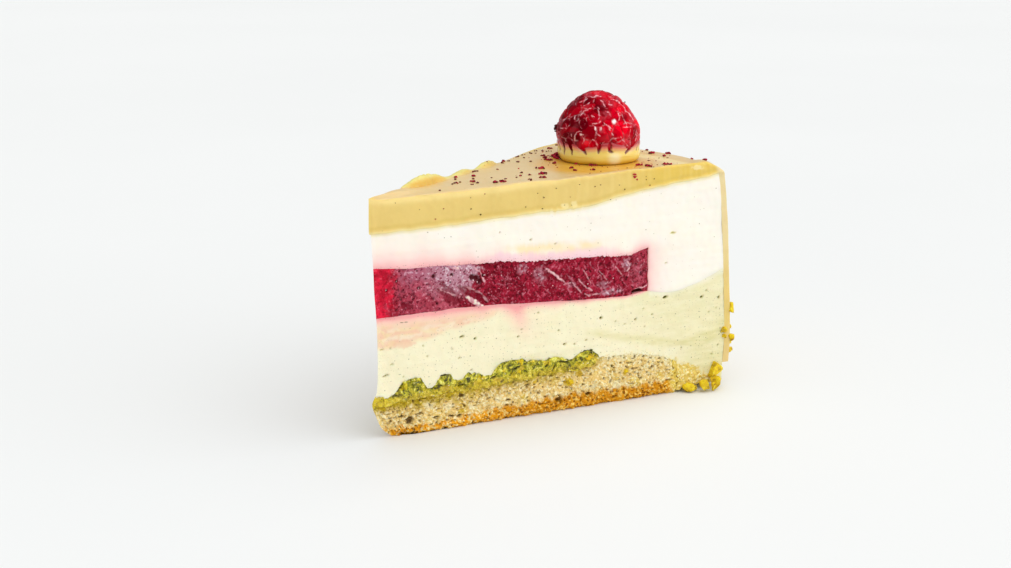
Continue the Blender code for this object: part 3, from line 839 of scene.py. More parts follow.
STREAKS = (
    (13.6, 26.2, 19.1, 26.7, 0.5), (1.6, 24.3, 5.7, 24.7, 0.4), (6.4, 24.4, 12.6, 24.9, 0.5),
    (16.8, 25.0, 21.5, 26.3, 0.5), (24.0, 26.4, 29.0, 27.0, 0.4), (3.0, 26.4, 6.5, 26.6, 0.3),
)
ROSY_SPOTS = ((7.3, 23.0, 3.4, 1.2), (24.0, 26.6, 2.4, 0.9))
pistachio_marks = {
    "pink": bleed,
    "peach": peach,
    "green": greener,
    "crumbly": crumbly,
    "dusted": dusted,
    "pore": pored,
    "fade": fade,
    "streak": lambda reach, height, share: max(
        near_line(reach, height + 0.4 * wander(reach, share * 9, height, 1.3), line, 0.5)
        for line in STREAKS
    ),
    "rosy": lambda reach, height, share: in_spots(reach, height, share, ROSY_SPOTS),
}


def beyond_sponge(reach, level):
    return (level < 1 and reach < SPONGE_END) or (level < 2 and reach < FILLING_END)


long_columns = (
    evenly(0, FILLING_END, 0.22)
    + evenly(FILLING_END, JELLY_END, 0.22)[1:]
    + evenly(JELLY_END, SPONGE_END, 0.22)[1:]
    + evenly(SPONGE_END, MOUSSE_RIM, 0.22)[1:]
)
pistachio_block = wedge_block(long_columns, [36, 18, 64], 20, beyond_sponge)
pistachio_lines = [mousse_foot, sponge_top, filling_top, middle]
shape_layer(pistachio_block, pistachio_lines, pistachio_relief, pistachio_marks)

# %% [markdown]
# The colour of a mousse is nearly flat, and what makes it food is what interrupts it: vanilla specks, pores
# whose dark inside is painted shade, folded streaks that are a little greener, and the pink of the jelly
# that has crept in. The bleed and the streaks are numbers on the mesh, because they follow the layers'
# lines. The specks and the finest pores are cells of a Voronoi pattern in the cut.

# %% Pistachio mousse finish


def speckle(tree, cut, colour, pore_shade, deep, many):
    """Add pores and specks to a mousse's colour. The dark in the pores is painted shade: the second colour
    in all of them, deep in the deepest and the small ones. deep is also the specks' own colour.
    """
    opened = mark(tree, "pore")
    colour = blend(tree, maths(tree, "MULTIPLY", opened, 0.85), colour, pore_shade)
    colour = blend(tree, rise(tree, opened, 0.5, 1.0), colour, deep)
    small = pores(tree, cut, 2.3, 0.19, 0.50 * many, 8.3)
    specks = pores(tree, cut, 1.1, 0.125, 0.40 * many, 5.7)
    colour = blend(tree, maths(tree, "MULTIPLY", small, 0.7), colour, deep)
    return blend(tree, maths(tree, "MULTIPLY", specks, 0.65), colour, deep)


def blushed(tree, colour, pale, strong):
    """Pink that has crept in: pale where there is little of it, strong beside the jelly."""
    pink = mark(tree, "pink")
    colour = blend(tree, rise(tree, pink, 0.0, 0.55), colour, pale)
    return blend(tree, rise(tree, pink, 0.35, 1.0), colour, strong)


pistachio_finish, tree, shader = new_finish("Pistachio mousse", 0.55, shine=0.3, soft=0.35)
block = place_in_block(tree)
cut = place_in_cut(tree)
mottle = cloud(tree, block, 7.0, 3, 0.6)
streaky = cloud(tree, stretched(tree, cut, 1.3, 6), 1.0, 3, 0.6)
colour = blend(tree, rise(tree, mottle, 0.35, 0.7), (0.905, 0.850, 0.61), (0.88, 0.825, 0.58))
greenish = blend(tree, rise(tree, streaky, 0.35, 0.6), (0.79, 0.735, 0.42), (0.69, 0.64, 0.29))
colour = blend(tree, mark(tree, "green", 0.8), colour, greenish)
colour = blend(tree, mark(tree, "fade", 0.55), colour, (0.94, 0.90, 0.74))
warm = blend(tree, rise(tree, streaky, 0.38, 0.62), (0.87, 0.57, 0.40), (0.88, 0.67, 0.40))
colour = blend(tree, mark(tree, "peach", 0.95), colour, warm)
colour = blend(tree, mark(tree, "rosy", 0.6), colour, (0.86, 0.54, 0.37))
colour = blend(tree, mark(tree, "streak", 0.6), colour, (0.93, 0.79, 0.62))
colour = blushed(tree, colour, (0.93, 0.63, 0.51), (0.90, 0.38, 0.38))
crumb, chance = grains(
    tree, block, 0.5, (0.44, 0.30, 0.03), (0.79, 0.58, 0.13), (0.94, 0.83, 0.42), 0.17, 0.68
)
fine_crumb, chance = grains(
    tree, block, 0.45, (0.46, 0.37, 0.12), (0.88, 0.77, 0.44), (0.93, 0.88, 0.63), 0.20, 0.62
)
colour = blend(tree, mark(tree, "dusted", 0.85), colour, fine_crumb)
colour = blend(tree, mark(tree, "crumbly"), colour, crumb)
colour = speckle(tree, cut, colour, (0.50, 0.45, 0.12), (0.10, 0.10, 0.004), 1.0)
tree.links.new(colour, shader.inputs["Base Color"])
tree.links.new(bump(tree, chance, 0.04), shader.inputs["Normal"])
settle(pistachio_block, "green_mousse", pistachio_finish, "pistachio_mousse")

# %% [markdown]
# The jelly was set in a smaller ring, frozen and laid in, so it ends in a clean edge with an
# upturned corner. It is the darkest part of the slice. The cut is slightly hollow, with
# open bubbles, and a cold knife has scratched it: deep troughs and pale smears of mousse near
# the tip, and fine scratches further out. All are short lines in the cut, and a vertex near one
# is moved and marked. The far face repeats the placed marks 4 mm nearer the tip. Where the cut
# surface is torn rather than cut it looks faded.

# %% Raspberry jelly
BUBBLES = (
    (16.0, 38.6, 0.65), (20.9, 38.4, 0.58), (26.4, 37.2, 0.95), (27.4, 36.9, 0.9), (28.4, 36.0, 0.85),
    (29.4, 37.3, 0.50), (6.2, 38.4, 0.40), (12.1, 36.1, 0.42), (13.9, 38.2, 0.26), (20.6, 36.6, 0.26),
    (3.4, 36.4, 0.40), (17.0, 31.7, 0.37), (6.9, 40.8, 0.31), (8.0, 36.0, 0.22), (10.6, 33.4, 0.25),
    (24.3, 38.9, 0.22), (11.6, 40.4, 0.20), (14.4, 36.7, 0.22), (19.0, 40.3, 0.20),
)
# Painted glints: pale spots, each a place, height and radius.
GLINTS = (
    (24.2, 36.0, 0.14), (31.8, 37.2, 0.16), (36.2, 33.4, 0.18), (58.9, 32.0, 0.2), (42.8, 36.4, 0.16),
    (33.9, 33.6, 0.14), (3.4, 36.4, 0.22), (20.9, 38.0, 0.24), (26.8, 36.4, 0.24), (28.0, 35.8, 0.26),
    (12.2, 36.0, 0.18), (29.8, 37.4, 0.20), (6.3, 38.3, 0.16), (34.5, 36.8, 0.18), (48.9, 32.6, 0.18),
    (66.4, 32.6, 0.18),
)
TROUGHS = (
    (17.9, 36.7, 21.6, 33.8, 0.65), (22.9, 35.2, 30.0, 31.0, 1.40), (17.3, 35.0, 21.5, 32.8, 1.1),
    (19.0, 32.8, 23.0, 31.4, 1.6), (7.5, 32.6, 10.0, 31.4, 1.2),
)
SMEARS = (
    (24.6, 32.8, 29.0, 29.7, 0.95, 1.0), (26.0, 31.6, 29.4, 29.6, 0.60, 1.0),
    (17.1, 35.6, 22.1, 33.0, 0.22, 0.55), (24.3, 35.3, 28.8, 33.0, 0.30, 0.5),
    (28.8, 33.0, 30.7, 30.6, 0.30, 0.5), (26.4, 40.2, 28.6, 38.2, 0.35, 0.6),
    (28.6, 38.2, 29.9, 35.6, 0.30, 0.75), (21.0, 40.2, 22.6, 39.8, 0.50, 1.0),
    (21.8, 40.8, 24.4, 41.0, 0.70, 1.0), (46.8, 37.3, 52.2, 33.2, 0.40, 0.85),
    (70.3, 36.6, 71.2, 35.2, 0.25, 0.8), (71.1, 34.9, 70.3, 34.0, 0.2, 0.8),
    (57.6, 35.9, 59.9, 31.8, 0.14, 0.55), (56.2, 33.5, 58.5, 30.9, 0.16, 0.55),
    (54.5, 32.7, 56.8, 30.1, 0.18, 0.6), (62.2, 35.1, 64.5, 32.3, 0.12, 0.5),
    (66.8, 35.9, 69.2, 32.8, 0.12, 0.5), (71.9, 28.5, 73.2, 29.3, 0.2, 0.65),
    (73.2, 29.3, 75.2, 29.4, 0.2, 0.65), (75.2, 29.4, 76.2, 29.9, 0.3, 0.8),
    (52.0, 32.4, 54.0, 33.0, 0.25, 0.6), (58.7, 30.9, 60.0, 30.4, 0.5, 0.6),
    (57.8, 29.4, 60.4, 28.9, 0.3, 0.6), (60.4, 28.9, 62.4, 29.3, 0.3, 0.55),
)
FADED = (
    (40.2, 37.7, 1.9, 1.7, 0.75), (45.3, 35.9, 2.6, 2.6, 0.50), (54.1, 32.2, 1.6, 0.9, 0.55),
    (65.6, 29.3, 4.4, 1.0, 0.95), (70.2, 35.9, 1.8, 2.2, 0.75), (73.6, 33.6, 3.0, 4.6, 0.15),
    (63.5, 31.0, 2.4, 1.4, 0.5),
)


def scratches():
    """Fine parallel scratches in the outer part, and a few nearer the tip."""
    chance = random.Random(5)
    made = []
    for number in range(52):
        outer = number < 36
        start = chance.uniform(53, 73.5) if outer else chance.uniform(31, 52)
        height = chance.uniform(31, 38.0)
        length = chance.uniform(0.7, 2.8)
        slope = math.radians(chance.gauss(-55, 5) if outer else chance.gauss(-42, 12))
        end = (start + length * math.cos(slope), height + length * math.sin(slope))
        made.append((start, height, *end, chance.uniform(0.06, 0.14)))
    return made


FINE_SCRATCHES = scratches()


def on_back(reach, height, share):
    """The back face shows the same kinds of mark, elsewhere."""
    return (reach + 4, height - 0.8) if share > 0.5 else (reach, height)


def smeared(reach, height, share):
    reach, height = on_back(reach, height, share)
    wobble = 0.22 * wander(reach, height, 60, 0.9)
    thin = min(0.85 + 0.5 * wander(reach, height, 64, 0.6), 1.0)
    return max(near_line(reach, height + wobble, line[:5], 0.2) * line[5] for line in SMEARS) * thin


def scratched(reach, height, share):
    reach, height = on_back(reach, height, share)
    broken = min(max(0.6 + 1.0 * wander(reach, height, 61, 0.6), 0.0), 1.0)
    return max(near_line(reach, height, line, 0.16) for line in FINE_SCRATCHES) * broken


def troughed(reach, height, share):
    reach, height = on_back(reach, height, share)
    wobble = 0.4 * wander(reach, height, 62, 1.0)
    return max(near_line(reach, height + wobble, line, 0.5) for line in TROUGHS)


def spotted(reach, height, share, spots):
    reach, height = on_back(reach, height, share)
    return max(1 - ease(math.hypot(reach - x, height - y), r * 0.55, r * 1.1) for x, y, r in spots)


def frosted(reach, height, share):
    """The milky haze between the tip and the middle, thickest along the top."""
    end = on_curve(((29, 21.5), (32, 23.5), (34, 25.5), (36, 28), (38, 28.4), (41, 27)), height)
    ragged = 1.7 * wander(reach, share * 9, height, 2.0) + 1.2 * wander(reach, share * 9, height, 0.8)
    along = ease(reach + ragged, 4.5, 10) * (1 - ease(reach + ragged, end - 1.8, end + 1.4))
    rise_line = on_curve(((0, 37.5), (12, 36.5), (20, 34.5), (30, 33.0)), reach)
    upper = ease(height + 1.4 * wander(reach, share * 9, height, 3.0), rise_line - 2.2, rise_line + 2.6)
    return along * (0.14 + 0.86 * upper)


def faded(reach, height, share):
    reach, height = on_back(reach, height, share)
    rough = min(max(0.7 + 0.9 * wander(reach, height, 66, 0.7), 0.0), 1.2)
    return max(
        strength * (1 - ease(math.hypot((reach - x) / wide, (height - y) / tall), 0.35, 1.1)) * rough
        for x, y, wide, tall, strength in FADED
    )


def notched(reach, height, share):
    reach, height = on_back(reach, height, share)
    return 1 - ease(math.hypot((reach - 73.5) / 1.8, (height - 28.4) / 0.8), 0.7, 1.1)


def jelly_relief(reach, height, side):
    share = 0.0 if side < 0 else 1.0
    hollow = -0.35 * math.sin(math.pi * min(max((height - 29) / 12, 0), 1))
    waves = 0.15 * wander(reach, side * 30, height, 6) + 0.10 * wander(reach, side * 9, height, 0.7)
    marks = 0.18 * smeared(reach, height, share)
    holes = 0.4 * spotted(reach, height, share, BUBBLES) + 0.35 * troughed(reach, height, share)
    return hollow + waves + marks - holes - 1.2 * notched(reach, height, share)


jelly_marks = {
    "smeared": smeared,
    "scratched": scratched,
    "troughed": troughed,
    "bubbled": lambda reach, height, share: spotted(reach, height, share, BUBBLES),
    "glint": lambda reach, height, share: spotted(reach, height, share, GLINTS),
    "frosted": lambda reach, height, share: min(
        frosted(reach, height, share) + faded(reach, height, share), 1.0
    ),
    "notch": notched,
    "light": lambda reach, height, share: max(
        1 - ease(reach + 1.5 * wander(reach, share * 9, height, 2.5), 18, 30), 0.7 * ease(reach, 67, 73)
    ),
    "milkier": lambda reach, height, share: ease(
        reach + 1.5 * wander(reach, share * 9, height, 2.2), 11, 21
    ),
    "thin": lambda reach, height, share: 1
    - ease(
        reach + 1.5 * wander(reach, share * 9, height, 2.6) + 1.1 * wander(reach, share * 9, height, 0.8),
        2.0 + 0.16 * (height - 30),
        5.2 + 0.16 * (height - 30),
    ),
}
jelly_block = wedge_block(evenly(0, JELLY_END, 0.17), [68], 14)
shape_layer(jelly_block, [middle, jelly_top], jelly_relief, jelly_marks)

# %% [markdown]
# Where the jelly is thin, at the tip, light comes through and it is bright red: that light is painted into
# its colour. Further out it is dark wine red, full of fine paler and darker grains of fruit. The haze, the
# smears and the bubbles are laid over that; the dark inside the bubbles, the troughs and the notch is
# painted shade. It is wet, and shines a little; the small glints are painted as pale spots.

# %% Jelly finish
jelly_finish, tree, shader = new_finish("Raspberry jelly", 0.40, shine=0.06, soft=0.12)
shader.inputs["Subsurface Radius"].default_value = (1.0, 0.15, 0.15)
block = place_in_block(tree)
tone = cloud(tree, block, 3.5, 4, 0.65)
mottle = cloud(tree, block, 1.0, 4, 0.7)
deep = blend(tree, rise(tree, tone, 0.38, 0.62), (0.22, 0.002, 0.014), (0.38, 0.010, 0.035))
lighter = blend(tree, rise(tree, tone, 0.36, 0.62), (0.31, 0.012, 0.030), (0.47, 0.045, 0.080))
deep = blend(tree, mark(tree, "light"), deep, lighter)
deep = blend(tree, rise(tree, mottle, 0.48, 0.36), deep, (0.10, 0.0, 0.005))
deep = blend(tree, rise(tree, mottle, 0.54, 0.74), deep, (0.62, 0.13, 0.20))
dark = blend(tree, 0.7, deep, (0.04, 0.0, 0.003))
pale = blend(tree, 0.40, deep, (0.85, 0.32, 0.41))
fruit, chance = grains(tree, block, 0.42, dark, deep, pale, 0.26, 0.80)
# Painted light: the bright red of light coming through the thin tip.
glow = blend(tree, rise(tree, tone, 0.40, 0.62), (0.47, 0.006, 0.026), (0.80, 0.016, 0.055))
glow_dark = blend(tree, 0.5, glow, (0.12, 0.0, 0.004))
glow_pale = blend(tree, 0.35, glow, (0.92, 0.20, 0.28))
glow, chance = grains(tree, block, 0.45, glow_dark, glow, glow_pale, 0.24, 0.80)
pink_haze, chance = grains(
    tree, block, 0.42, (0.22, 0.012, 0.04), (0.45, 0.13, 0.195), (0.64, 0.33, 0.42), 0.27, 0.76
)
lilac_haze, chance = grains(
    tree, block, 0.42, (0.27, 0.04, 0.08), (0.52, 0.25, 0.32), (0.74, 0.55, 0.62), 0.27, 0.72
)
haze = blend(tree, mark(tree, "milkier"), pink_haze, lilac_haze)
colour = blend(tree, mark(tree, "frosted"), fruit, haze)
colour = blend(tree, mark(tree, "thin"), colour, glow)
# Painted shade: the troughs are painted darker.
colour = blend(tree, mark(tree, "troughed", 0.7), colour, (0.19, 0.002, 0.014))
colour = blend(tree, mark(tree, "scratched", 0.4), colour, (0.76, 0.28, 0.36))
colour = blend(tree, rise(tree, mark(tree, "smeared"), 0.0, 0.8), colour, (0.78, 0.42, 0.46))
colour = blend(tree, rise(tree, mark(tree, "smeared"), 0.72, 1.0), colour, (0.86, 0.76, 0.62))
# Painted shade: the bubbles and the notch are painted nearly black inside.
colour = blend(tree, mark(tree, "bubbled", 0.95), colour, (0.07, 0.0, 0.003))
colour = blend(tree, mark(tree, "notch"), colour, (0.05, 0.008, 0.004))
# Painted glints: pale spots.
colour = blend(tree, rise(tree, mark(tree, "glint"), 0.35, 0.8), colour, (0.92, 0.62, 0.66))
tree.links.new(colour, shader.inputs["Base Color"])
tree.links.new(bump(tree, chance, 0.22), shader.inputs["Normal"])
settle(jelly_block, "jelly", jelly_finish, "raspberry_jelly")

# %% [markdown]
# The vanilla mousse is the same kind of mousse as the green one, and whiter. Here the jelly has
# bled upwards and outwards, and a patch of cream over it has stayed yellow.

# %% Vanilla mousse


def over_jelly(reach, height, share):
    return max(height - jelly_top(reach, share), 0.0)


def blush(reach, height, share):
    """Pink over and beside the jelly."""
    deep = on_curve(((0, 3.3), (15, 2.9), (30, 2.0), (50, 1.5), (70, 1.6), (80, 1.2)), reach)
    deep *= 1 + 0.35 * wander(reach, share * 9, 71, 4)
    over = math.exp(-over_jelly(reach, height, share) / deep) * (1 - ease(reach, 75.5, 77.5))
    beside = 0.62 * math.exp(-max(reach - JELLY_END, 0) / 4.0) * ease(reach, 75.5, 77.5)
    beside *= 1 - ease(height, 38, 44)
    return min(1.0, 1.0 * over + beside)


def lilac(reach, height, share):
    """The cooler pink right on the jelly in the middle."""
    thick = 2.2 + 0.8 * wander(reach, share * 9, 73, 4)
    along = ease(reach, 28, 34) * (1 - ease(reach, 60, 70))
    return along * (1 - ease(over_jelly(reach, height, share), thick - 0.7, thick + 0.4))


def creamy(reach, height, share):
    """A yellow patch of cream over the lilac."""
    band = peak(over_jelly(reach, height, share), 3.1, 1.1) * ease(reach, 33, 40)
    band *= 1 - ease(reach, 58, 66)
    return band * min(max(0.8 + 0.7 * wander(reach, share * 9, height, 3), 0), 1)


vanilla_marks = {
    "pink": blush,
    "lilac": lilac,
    "creamy": creamy,
    "pore": pored,
    "fade": fade,
    "torn": lambda reach, height, share: (
        (1 - ease(over_jelly(reach, height, share), 0.1, 1.3)) * (1 - ease(reach, 70, 76))
    ),
    "smudge": lambda reach, height, share: in_spots(reach, height, share, ((83.7, 42.7, 1.1, 0.4),)),
    "stain": lambda reach, height, share: 1 - ease(glaze_foot(reach, share) - height, 0.1, 1.1),
}


def beyond_jelly(reach, level):
    return level < 1 and reach < JELLY_END


vanilla_columns = evenly(0, JELLY_END, 0.25) + evenly(JELLY_END, MOUSSE_RIM, 0.25)[1:]
vanilla_block = wedge_block(vanilla_columns, [48, 52], 20, beyond_jelly)
shape_layer(vanilla_block, [middle, jelly_top, glaze_foot], mousse_relief, vanilla_marks)

# %% Vanilla mousse finish
vanilla_finish, tree, shader = new_finish("Vanilla mousse", 0.55, shine=0.3, soft=0.35)
block = place_in_block(tree)
cut = place_in_cut(tree)
mottle = cloud(tree, block, 9.0, 3, 0.6)
colour = blend(tree, rise(tree, mottle, 0.35, 0.7), (0.945, 0.887, 0.80), (0.945, 0.88, 0.77))
colour = blend(tree, mark(tree, "fade", 0.55), colour, (0.94, 0.90, 0.74))
colour = blushed(tree, colour, (0.94, 0.70, 0.65), (0.92, 0.46, 0.46))
colour = blend(tree, mark(tree, "lilac", 0.7), colour, (0.92, 0.64, 0.70))
colour = blend(tree, mark(tree, "creamy", 0.9), colour, (0.92, 0.75, 0.45))
colour = blend(tree, mark(tree, "stain", 0.7), colour, (0.92, 0.79, 0.42))
colour = blend(tree, mark(tree, "smudge", 0.75), colour, (0.74, 0.66, 0.16))
colour = speckle(tree, cut, colour, (0.60, 0.52, 0.22), (0.22, 0.16, 0.05), 0.12)
bits = maths(tree, "MULTIPLY", pores(tree, cut, 0.6, 0.13, 0.55, 2.2), mark(tree, "torn"))
colour = blend(tree, bits, colour, (0.30, 0.01, 0.03))
tree.links.new(colour, shader.inputs["Base Color"])
settle(vanilla_block, "vanilla_mousse_layer", vanilla_finish, "vanilla_mousse")

# %% [markdown]
# The glaze was poured: thick over the tip, thin at the rim, and a skin down the side. Its top is
# level and soft. Two things break it: the front edge is swollen a little where the knife went
# in, and at the back edge the knife has dragged a leaf of glaze over the top. Both are part of
# the top's height, so the glaze stays one body. All its edges are round: a vertex near the edge
# is moved onto an arc, from both sides of it.

# %% Praline glaze
FOLD_WIDTH = (
    (11.5, 0.6), (14.0, 1.9), (20.7, 2.6), (25.7, 2.4), (30.1, 2.5), (35.2, 2.4), (40.5, 2.2),
    (46, 1.4), (50, 2.2), (57, 0.8),
)
FOLD_HEIGHT = (
    (11.5, 0.0), (12.6, 0.6), (14.8, 1.3), (17.6, 2.0), (20.9, 2.4), (24.3, 2.15), (27.6, 1.5),
    (30.5, 0.6), (33, 0.3), (35, 0.5), (37.5, 0.9), (40.5, 1.05), (43.7, 0.45), (46, 0.3), (49.4, 1.2),
    (52.6, 1.4), (55, 1.0), (57, 0.0),
)
SWELL = (
    (0, -0.2), (2.5, -0.45), (7, -0.45), (17, -0.35), (26, -0.2), (34, 0.0), (39, 0.3), (46, 0.3),
    (50.5, 0.05), (56, 0.3), (60, 0.35), (67, 0.65), (72, 0.85), (77, 0.75), (83, 1.0), (88, 1.0),
    (93, 1.0), (96, 0.8), (98, 0.3),
)
RIDGE = ((0, 0.1), (2, 0.65), (6, 0.9), (9, 0.75), (14, 0.4), (20, 0))
EDGE = ((0, 1.2), (40, 1.2), (55, 0.9), (70, 0.5), (101, 0.5))


def from_cut(reach, share):
    return min(share, 1 - share) * WEDGE * reach


def on_arc(distance, radius):
    """(how far in, how far down) on a quarter circle, at a distance from the corner."""
    turn = math.radians(45) * (1 + min(distance / radius, 1.0))
    return radius * (1 - math.cos(turn)), radius * (1 - math.sin(turn))


def edge_radius(reach):
    return min(on_curve(EDGE, reach), reach * HALF * 0.9)


def fold(reach, share):
    """Height of the leaf along the back edge."""
    from_back = max(reach * (1 - share) * WEDGE, 0)
    width = on_curve(FOLD_WIDTH, reach) * (1 + 0.12 * wander(reach, 3, 81, 3))
    if from_back >= width or not 11.5 < reach < 57:
        return 0.0
    lumpy = 1 + 0.05 * wander(reach, from_back, 83, 4.0) + 0.10 * wander(reach, from_back * 2, 84, 0.9)
    return max(on_curve(FOLD_HEIGHT, reach), 0.0) * lumpy * (1 - (from_back / width) ** 2.5) ** 0.45


def glaze_top(reach, share):
    rounding = 3.2 + 2.4 * (1 - ease(share, 0.0, 0.14))
    outer = max(reach - (SKIN_RIM - rounding), 0) / rounding
    rim = 2.4 * (1 - math.sqrt(max(1 - outer**2, 0)))
    from_front = reach * share * WEDGE
    rough = 0.2 * wander(reach, 5, 85, 1.2) * (1 - ease(from_front, 0.4, 1.6)) * ease(reach, 40, 60)
    swell = on_curve(SWELL, reach) * (1 - ease(from_front, 1.0, 5.5)) + rough
    swell += on_curve(RIDGE, reach) * ease(share, 0.2, 0.6)
    behind = 0.9 * ease(reach, 58, 84) * ease(share, 0.60, 0.92)
    behind += 0.5 * ease(reach, 90, 95) * ease(share, 0.04, 0.3)
    nub = 0.9 * peak(share, 0.09, 0.05) * ease(reach, 92, 96)
    angle = (share - 0.5) * WEDGE
    berry_away = math.hypot(reach * math.cos(angle) - 79.85, reach * math.sin(angle) - 2.45)
    swell += nub - 0.3 * (1 - ease(berry_away, 9, 16))
    ripple = 0.05 * wander(reach, share * 40, 87, 9)
    level = TOP - rim + swell + min(behind, 1.0) + fold(reach, share) + ripple
    radius = edge_radius(reach)
    distance = from_cut(reach, share)
    return level - (on_arc(distance, radius)[1] if distance < radius else 0.0)


def glaze_inward(reach, distance, level):
    """Shift of the top's vertices beside the cut, onto the round edge."""
    radius = edge_radius(reach)
    return on_arc(distance, radius)[0] - distance if level > 1.999 and distance < radius else 0.0


def glaze_relief(reach, height, side):
    share = 0.0 if side < 0 else 1.0
    radius = edge_radius(reach)
    waves = 0.14 * wander(reach, side * 30, height, 7) + 0.04 * wander(reach, side * 30, height, 1.5)
    below = max(glaze_top(reach, share) - height, 0)
    edge = radius * (1 - math.cos(math.radians(45) * (1 - min(below / max(radius, 0.01), 1))))
    lip = 0.25 * peak(height, glaze_foot(reach, share) + 0.3, 0.5) * (1 + wander(reach, side * 9, 89, 3))
    overhang = 0.9 * peak(reach, 22, 6) * peak(below, 1.2, 1.0) if side > 0 else 0.0
    return waves + lip + overhang - edge


def above_foot(reach, height, share):
    return height - glaze_foot(reach, share) if reach < MOUSSE_RIM else 3.0


def fold_shade(reach, share):
    """Painted shade: the dark line at the front foot of the leaf."""
    from_back = reach * (1 - share) * WEDGE
    width = on_curve(FOLD_WIDTH, reach) * (1 + 0.12 * wander(reach, 3, 81, 3))
    line = peak(from_back, width - 0.1, 0.6)
    return line * ease(on_curve(FOLD_HEIGHT, reach), 0.3, 1.6) * ease(reach, 11, 13)


def painted_berry_bounce(reach, height, share):
    """Painted bounce light: the glaze in front of the collar is painted warmer, for the light that comes
    back from the berry.
    """
    angle = (share - 0.5) * WEDGE
    along = reach * math.cos(angle) - 74
    away = math.hypot(along * (0.85 if along < 0 else 1.1), reach * math.sin(angle) + 3.0)
    return (1 - ease(away, 11.5, 18.0)) * ease(height, TOP - 0.8, TOP - 0.1)


def near_cut(reach, height, share):
    """1 on the cut and on the round edge over it, with an uneven border on the top."""
    width = 0.45 + 2.6 * ease(reach, 62, 92) + 0.5 * wander(reach, 3, 95, 1.6)
    return 1.0 - ease(from_cut(reach, share), 0.05, max(width, 0.3))


def burr_and_edge_highlight(reach, height, share):
    """The paler line along the front edge: a soft painted highlight on the round edge near the tip, and
    further out a broken line that is partly a ridge of glaze and partly painted highlight.
    """
    if share > 0.5:
        return 0.0
    inward = from_cut(reach, share)
    down = glaze_top(reach, share) - height
    soft = 0.8 * peak(down, 0.5, 0.9) * (1 - ease(inward, 0.0, 0.4)) * (1 - ease(reach, 44, 56))
    there = min(max(0.5 + 1.4 * wander(reach, 7, 97, 1.2), 0), 1) * ease(reach, 44, 60)
    return max(soft, peak(inward, 0.5, 0.4) * there)


# Pale spots: the two low ones near the foot are pale glaze, the one high at the rim is a painted highlight
# of a wet patch.
PALE_SPOTS_AND_SHINE = ((52.0, 52.5, 1.3, 0.8), (54.6, 52.6, 1.0, 0.8), (91.5, 59.0, 2.2, 0.7))


glaze_marks = {
    "cut": near_cut,
    "burr_and_edge_highlight": burr_and_edge_highlight,
    "fold": lambda reach, height, share: ease(fold(reach, share), 0.02, 0.3) * ease(height, TOP - 0.6, TOP),
    "fold_shade": lambda reach, height, share: fold_shade(reach, share) * ease(height, TOP - 0.6, TOP),
    "warm": painted_berry_bounce,
    "pale": lambda reach, height, share: max(
        1 - ease(above_foot(reach, height, share), 0.15, 0.8), in_spots(reach, height, share, PALE_SPOTS_AND_SHINE)
    ),
    "rich": lambda reach, height, share: (
        ease(reach, 62, 84) * (1 - ease(reach, 97.5, 98.5)) * near_cut(reach, height, share)
    ),
    "line": lambda reach, height, share: peak(above_foot(reach, height, share), 1.3, 0.45),
    "skin": lambda reach, height, share: ease(reach, 97.5, 98.7) * ease(height, 22, 45),
    "amber": lambda reach, height, share: ease(reach, 97.5, 98.7) * (1 - ease(height, 7, 17)),
}
glaze_columns = evenly(0, MOUSSE_RIM, 0.32) + evenly(MOUSSE_RIM, SKIN_RIM, 0.26)[1:]
glaze_block = wedge_block(
    glaze_columns, [90, 28], 44, lambda reach, level: level < 1 and reach < MOUSSE_RIM
)
shape_layer(glaze_block, [skin_foot, glaze_foot, glaze_top], glaze_relief, glaze_marks, glaze_inward)
TIP_OVERHANG = 0.55  # how far the glaze hangs over the mousse at the tip
for vert in glaze_block.verts:
    vert.co.x -= TIP_OVERHANG * (1 - ease(vert.co.x, 0, 7))

# %% [markdown]
# The glaze is a set cream of milk, nuts and caramel: dense, satin, a warm tan. Where the knife has cut it,
# it is yellower and less shiny than on the poured surface. At its foot it has smeared into the mousse, as a
# pale line under a darker one. Tiny dark specks of vanilla are in it too. Light and shade are painted in as
# well: a warmer glow in front of the collar for the light that the berry casts back, a pale highlight along
# the front edge and on a wet spot at the rim, and a dark line of shade at the foot of the leaf.

# %% Glaze finish


def glaze_colours(tree, block, colour):
    """The mottling and specks of the glaze, over its plain colour."""
    darker = blend(tree, 0.16, colour, (0.55, 0.36, 0.08))
    colour = blend(tree, rise(tree, cloud(tree, block, 6.0, 3, 0.6), 0.38, 0.72), colour, darker)
    cells = add_node(tree, "ShaderNodeTexVoronoi", {"Vector": block, "Scale": 1 / 1.9})
    chance = add_node(tree, "ShaderNodeSeparateColor", {0: cells.outputs["Color"]}).outputs[0]
    speck = maths(tree, "LESS_THAN", cells.outputs["Distance"], 0.085)
    speck = maths(tree, "MULTIPLY", speck, maths(tree, "LESS_THAN", chance, 0.35))
    return blend(tree, maths(tree, "MULTIPLY", speck, 0.6), colour, (0.22, 0.12, 0.03))


glaze_finish, tree, shader = new_finish("Praline glaze", 0.30, shine=0.5, soft=0.25)
block = place_in_block(tree)
# Painted bounce light: warmer orange in front of the collar.
colour = blend(tree, mark(tree, "warm", 0.95), (0.73, 0.53, 0.235), (0.73, 0.38, 0.030))
colour = blend(tree, mark(tree, "cut"), colour, (0.77, 0.57, 0.18))
colour = blend(tree, mark(tree, "rich", 0.85), colour, (0.76, 0.53, 0.08))
colour = blend(tree, mark(tree, "fold", 0.95), colour, (0.75, 0.68, 0.19))
# Painted shade: the dark line at the foot of the leaf.
colour = blend(tree, mark(tree, "fold_shade", 0.9), colour, (0.70, 0.40, 0.025))
# Partly painted highlight: the pale line along the front edge.
colour = blend(tree, mark(tree, "burr_and_edge_highlight", 0.75), colour, (0.90, 0.72, 0.30))
colour = blend(tree, mark(tree, "line", 0.4), colour, (0.66, 0.47, 0.10))
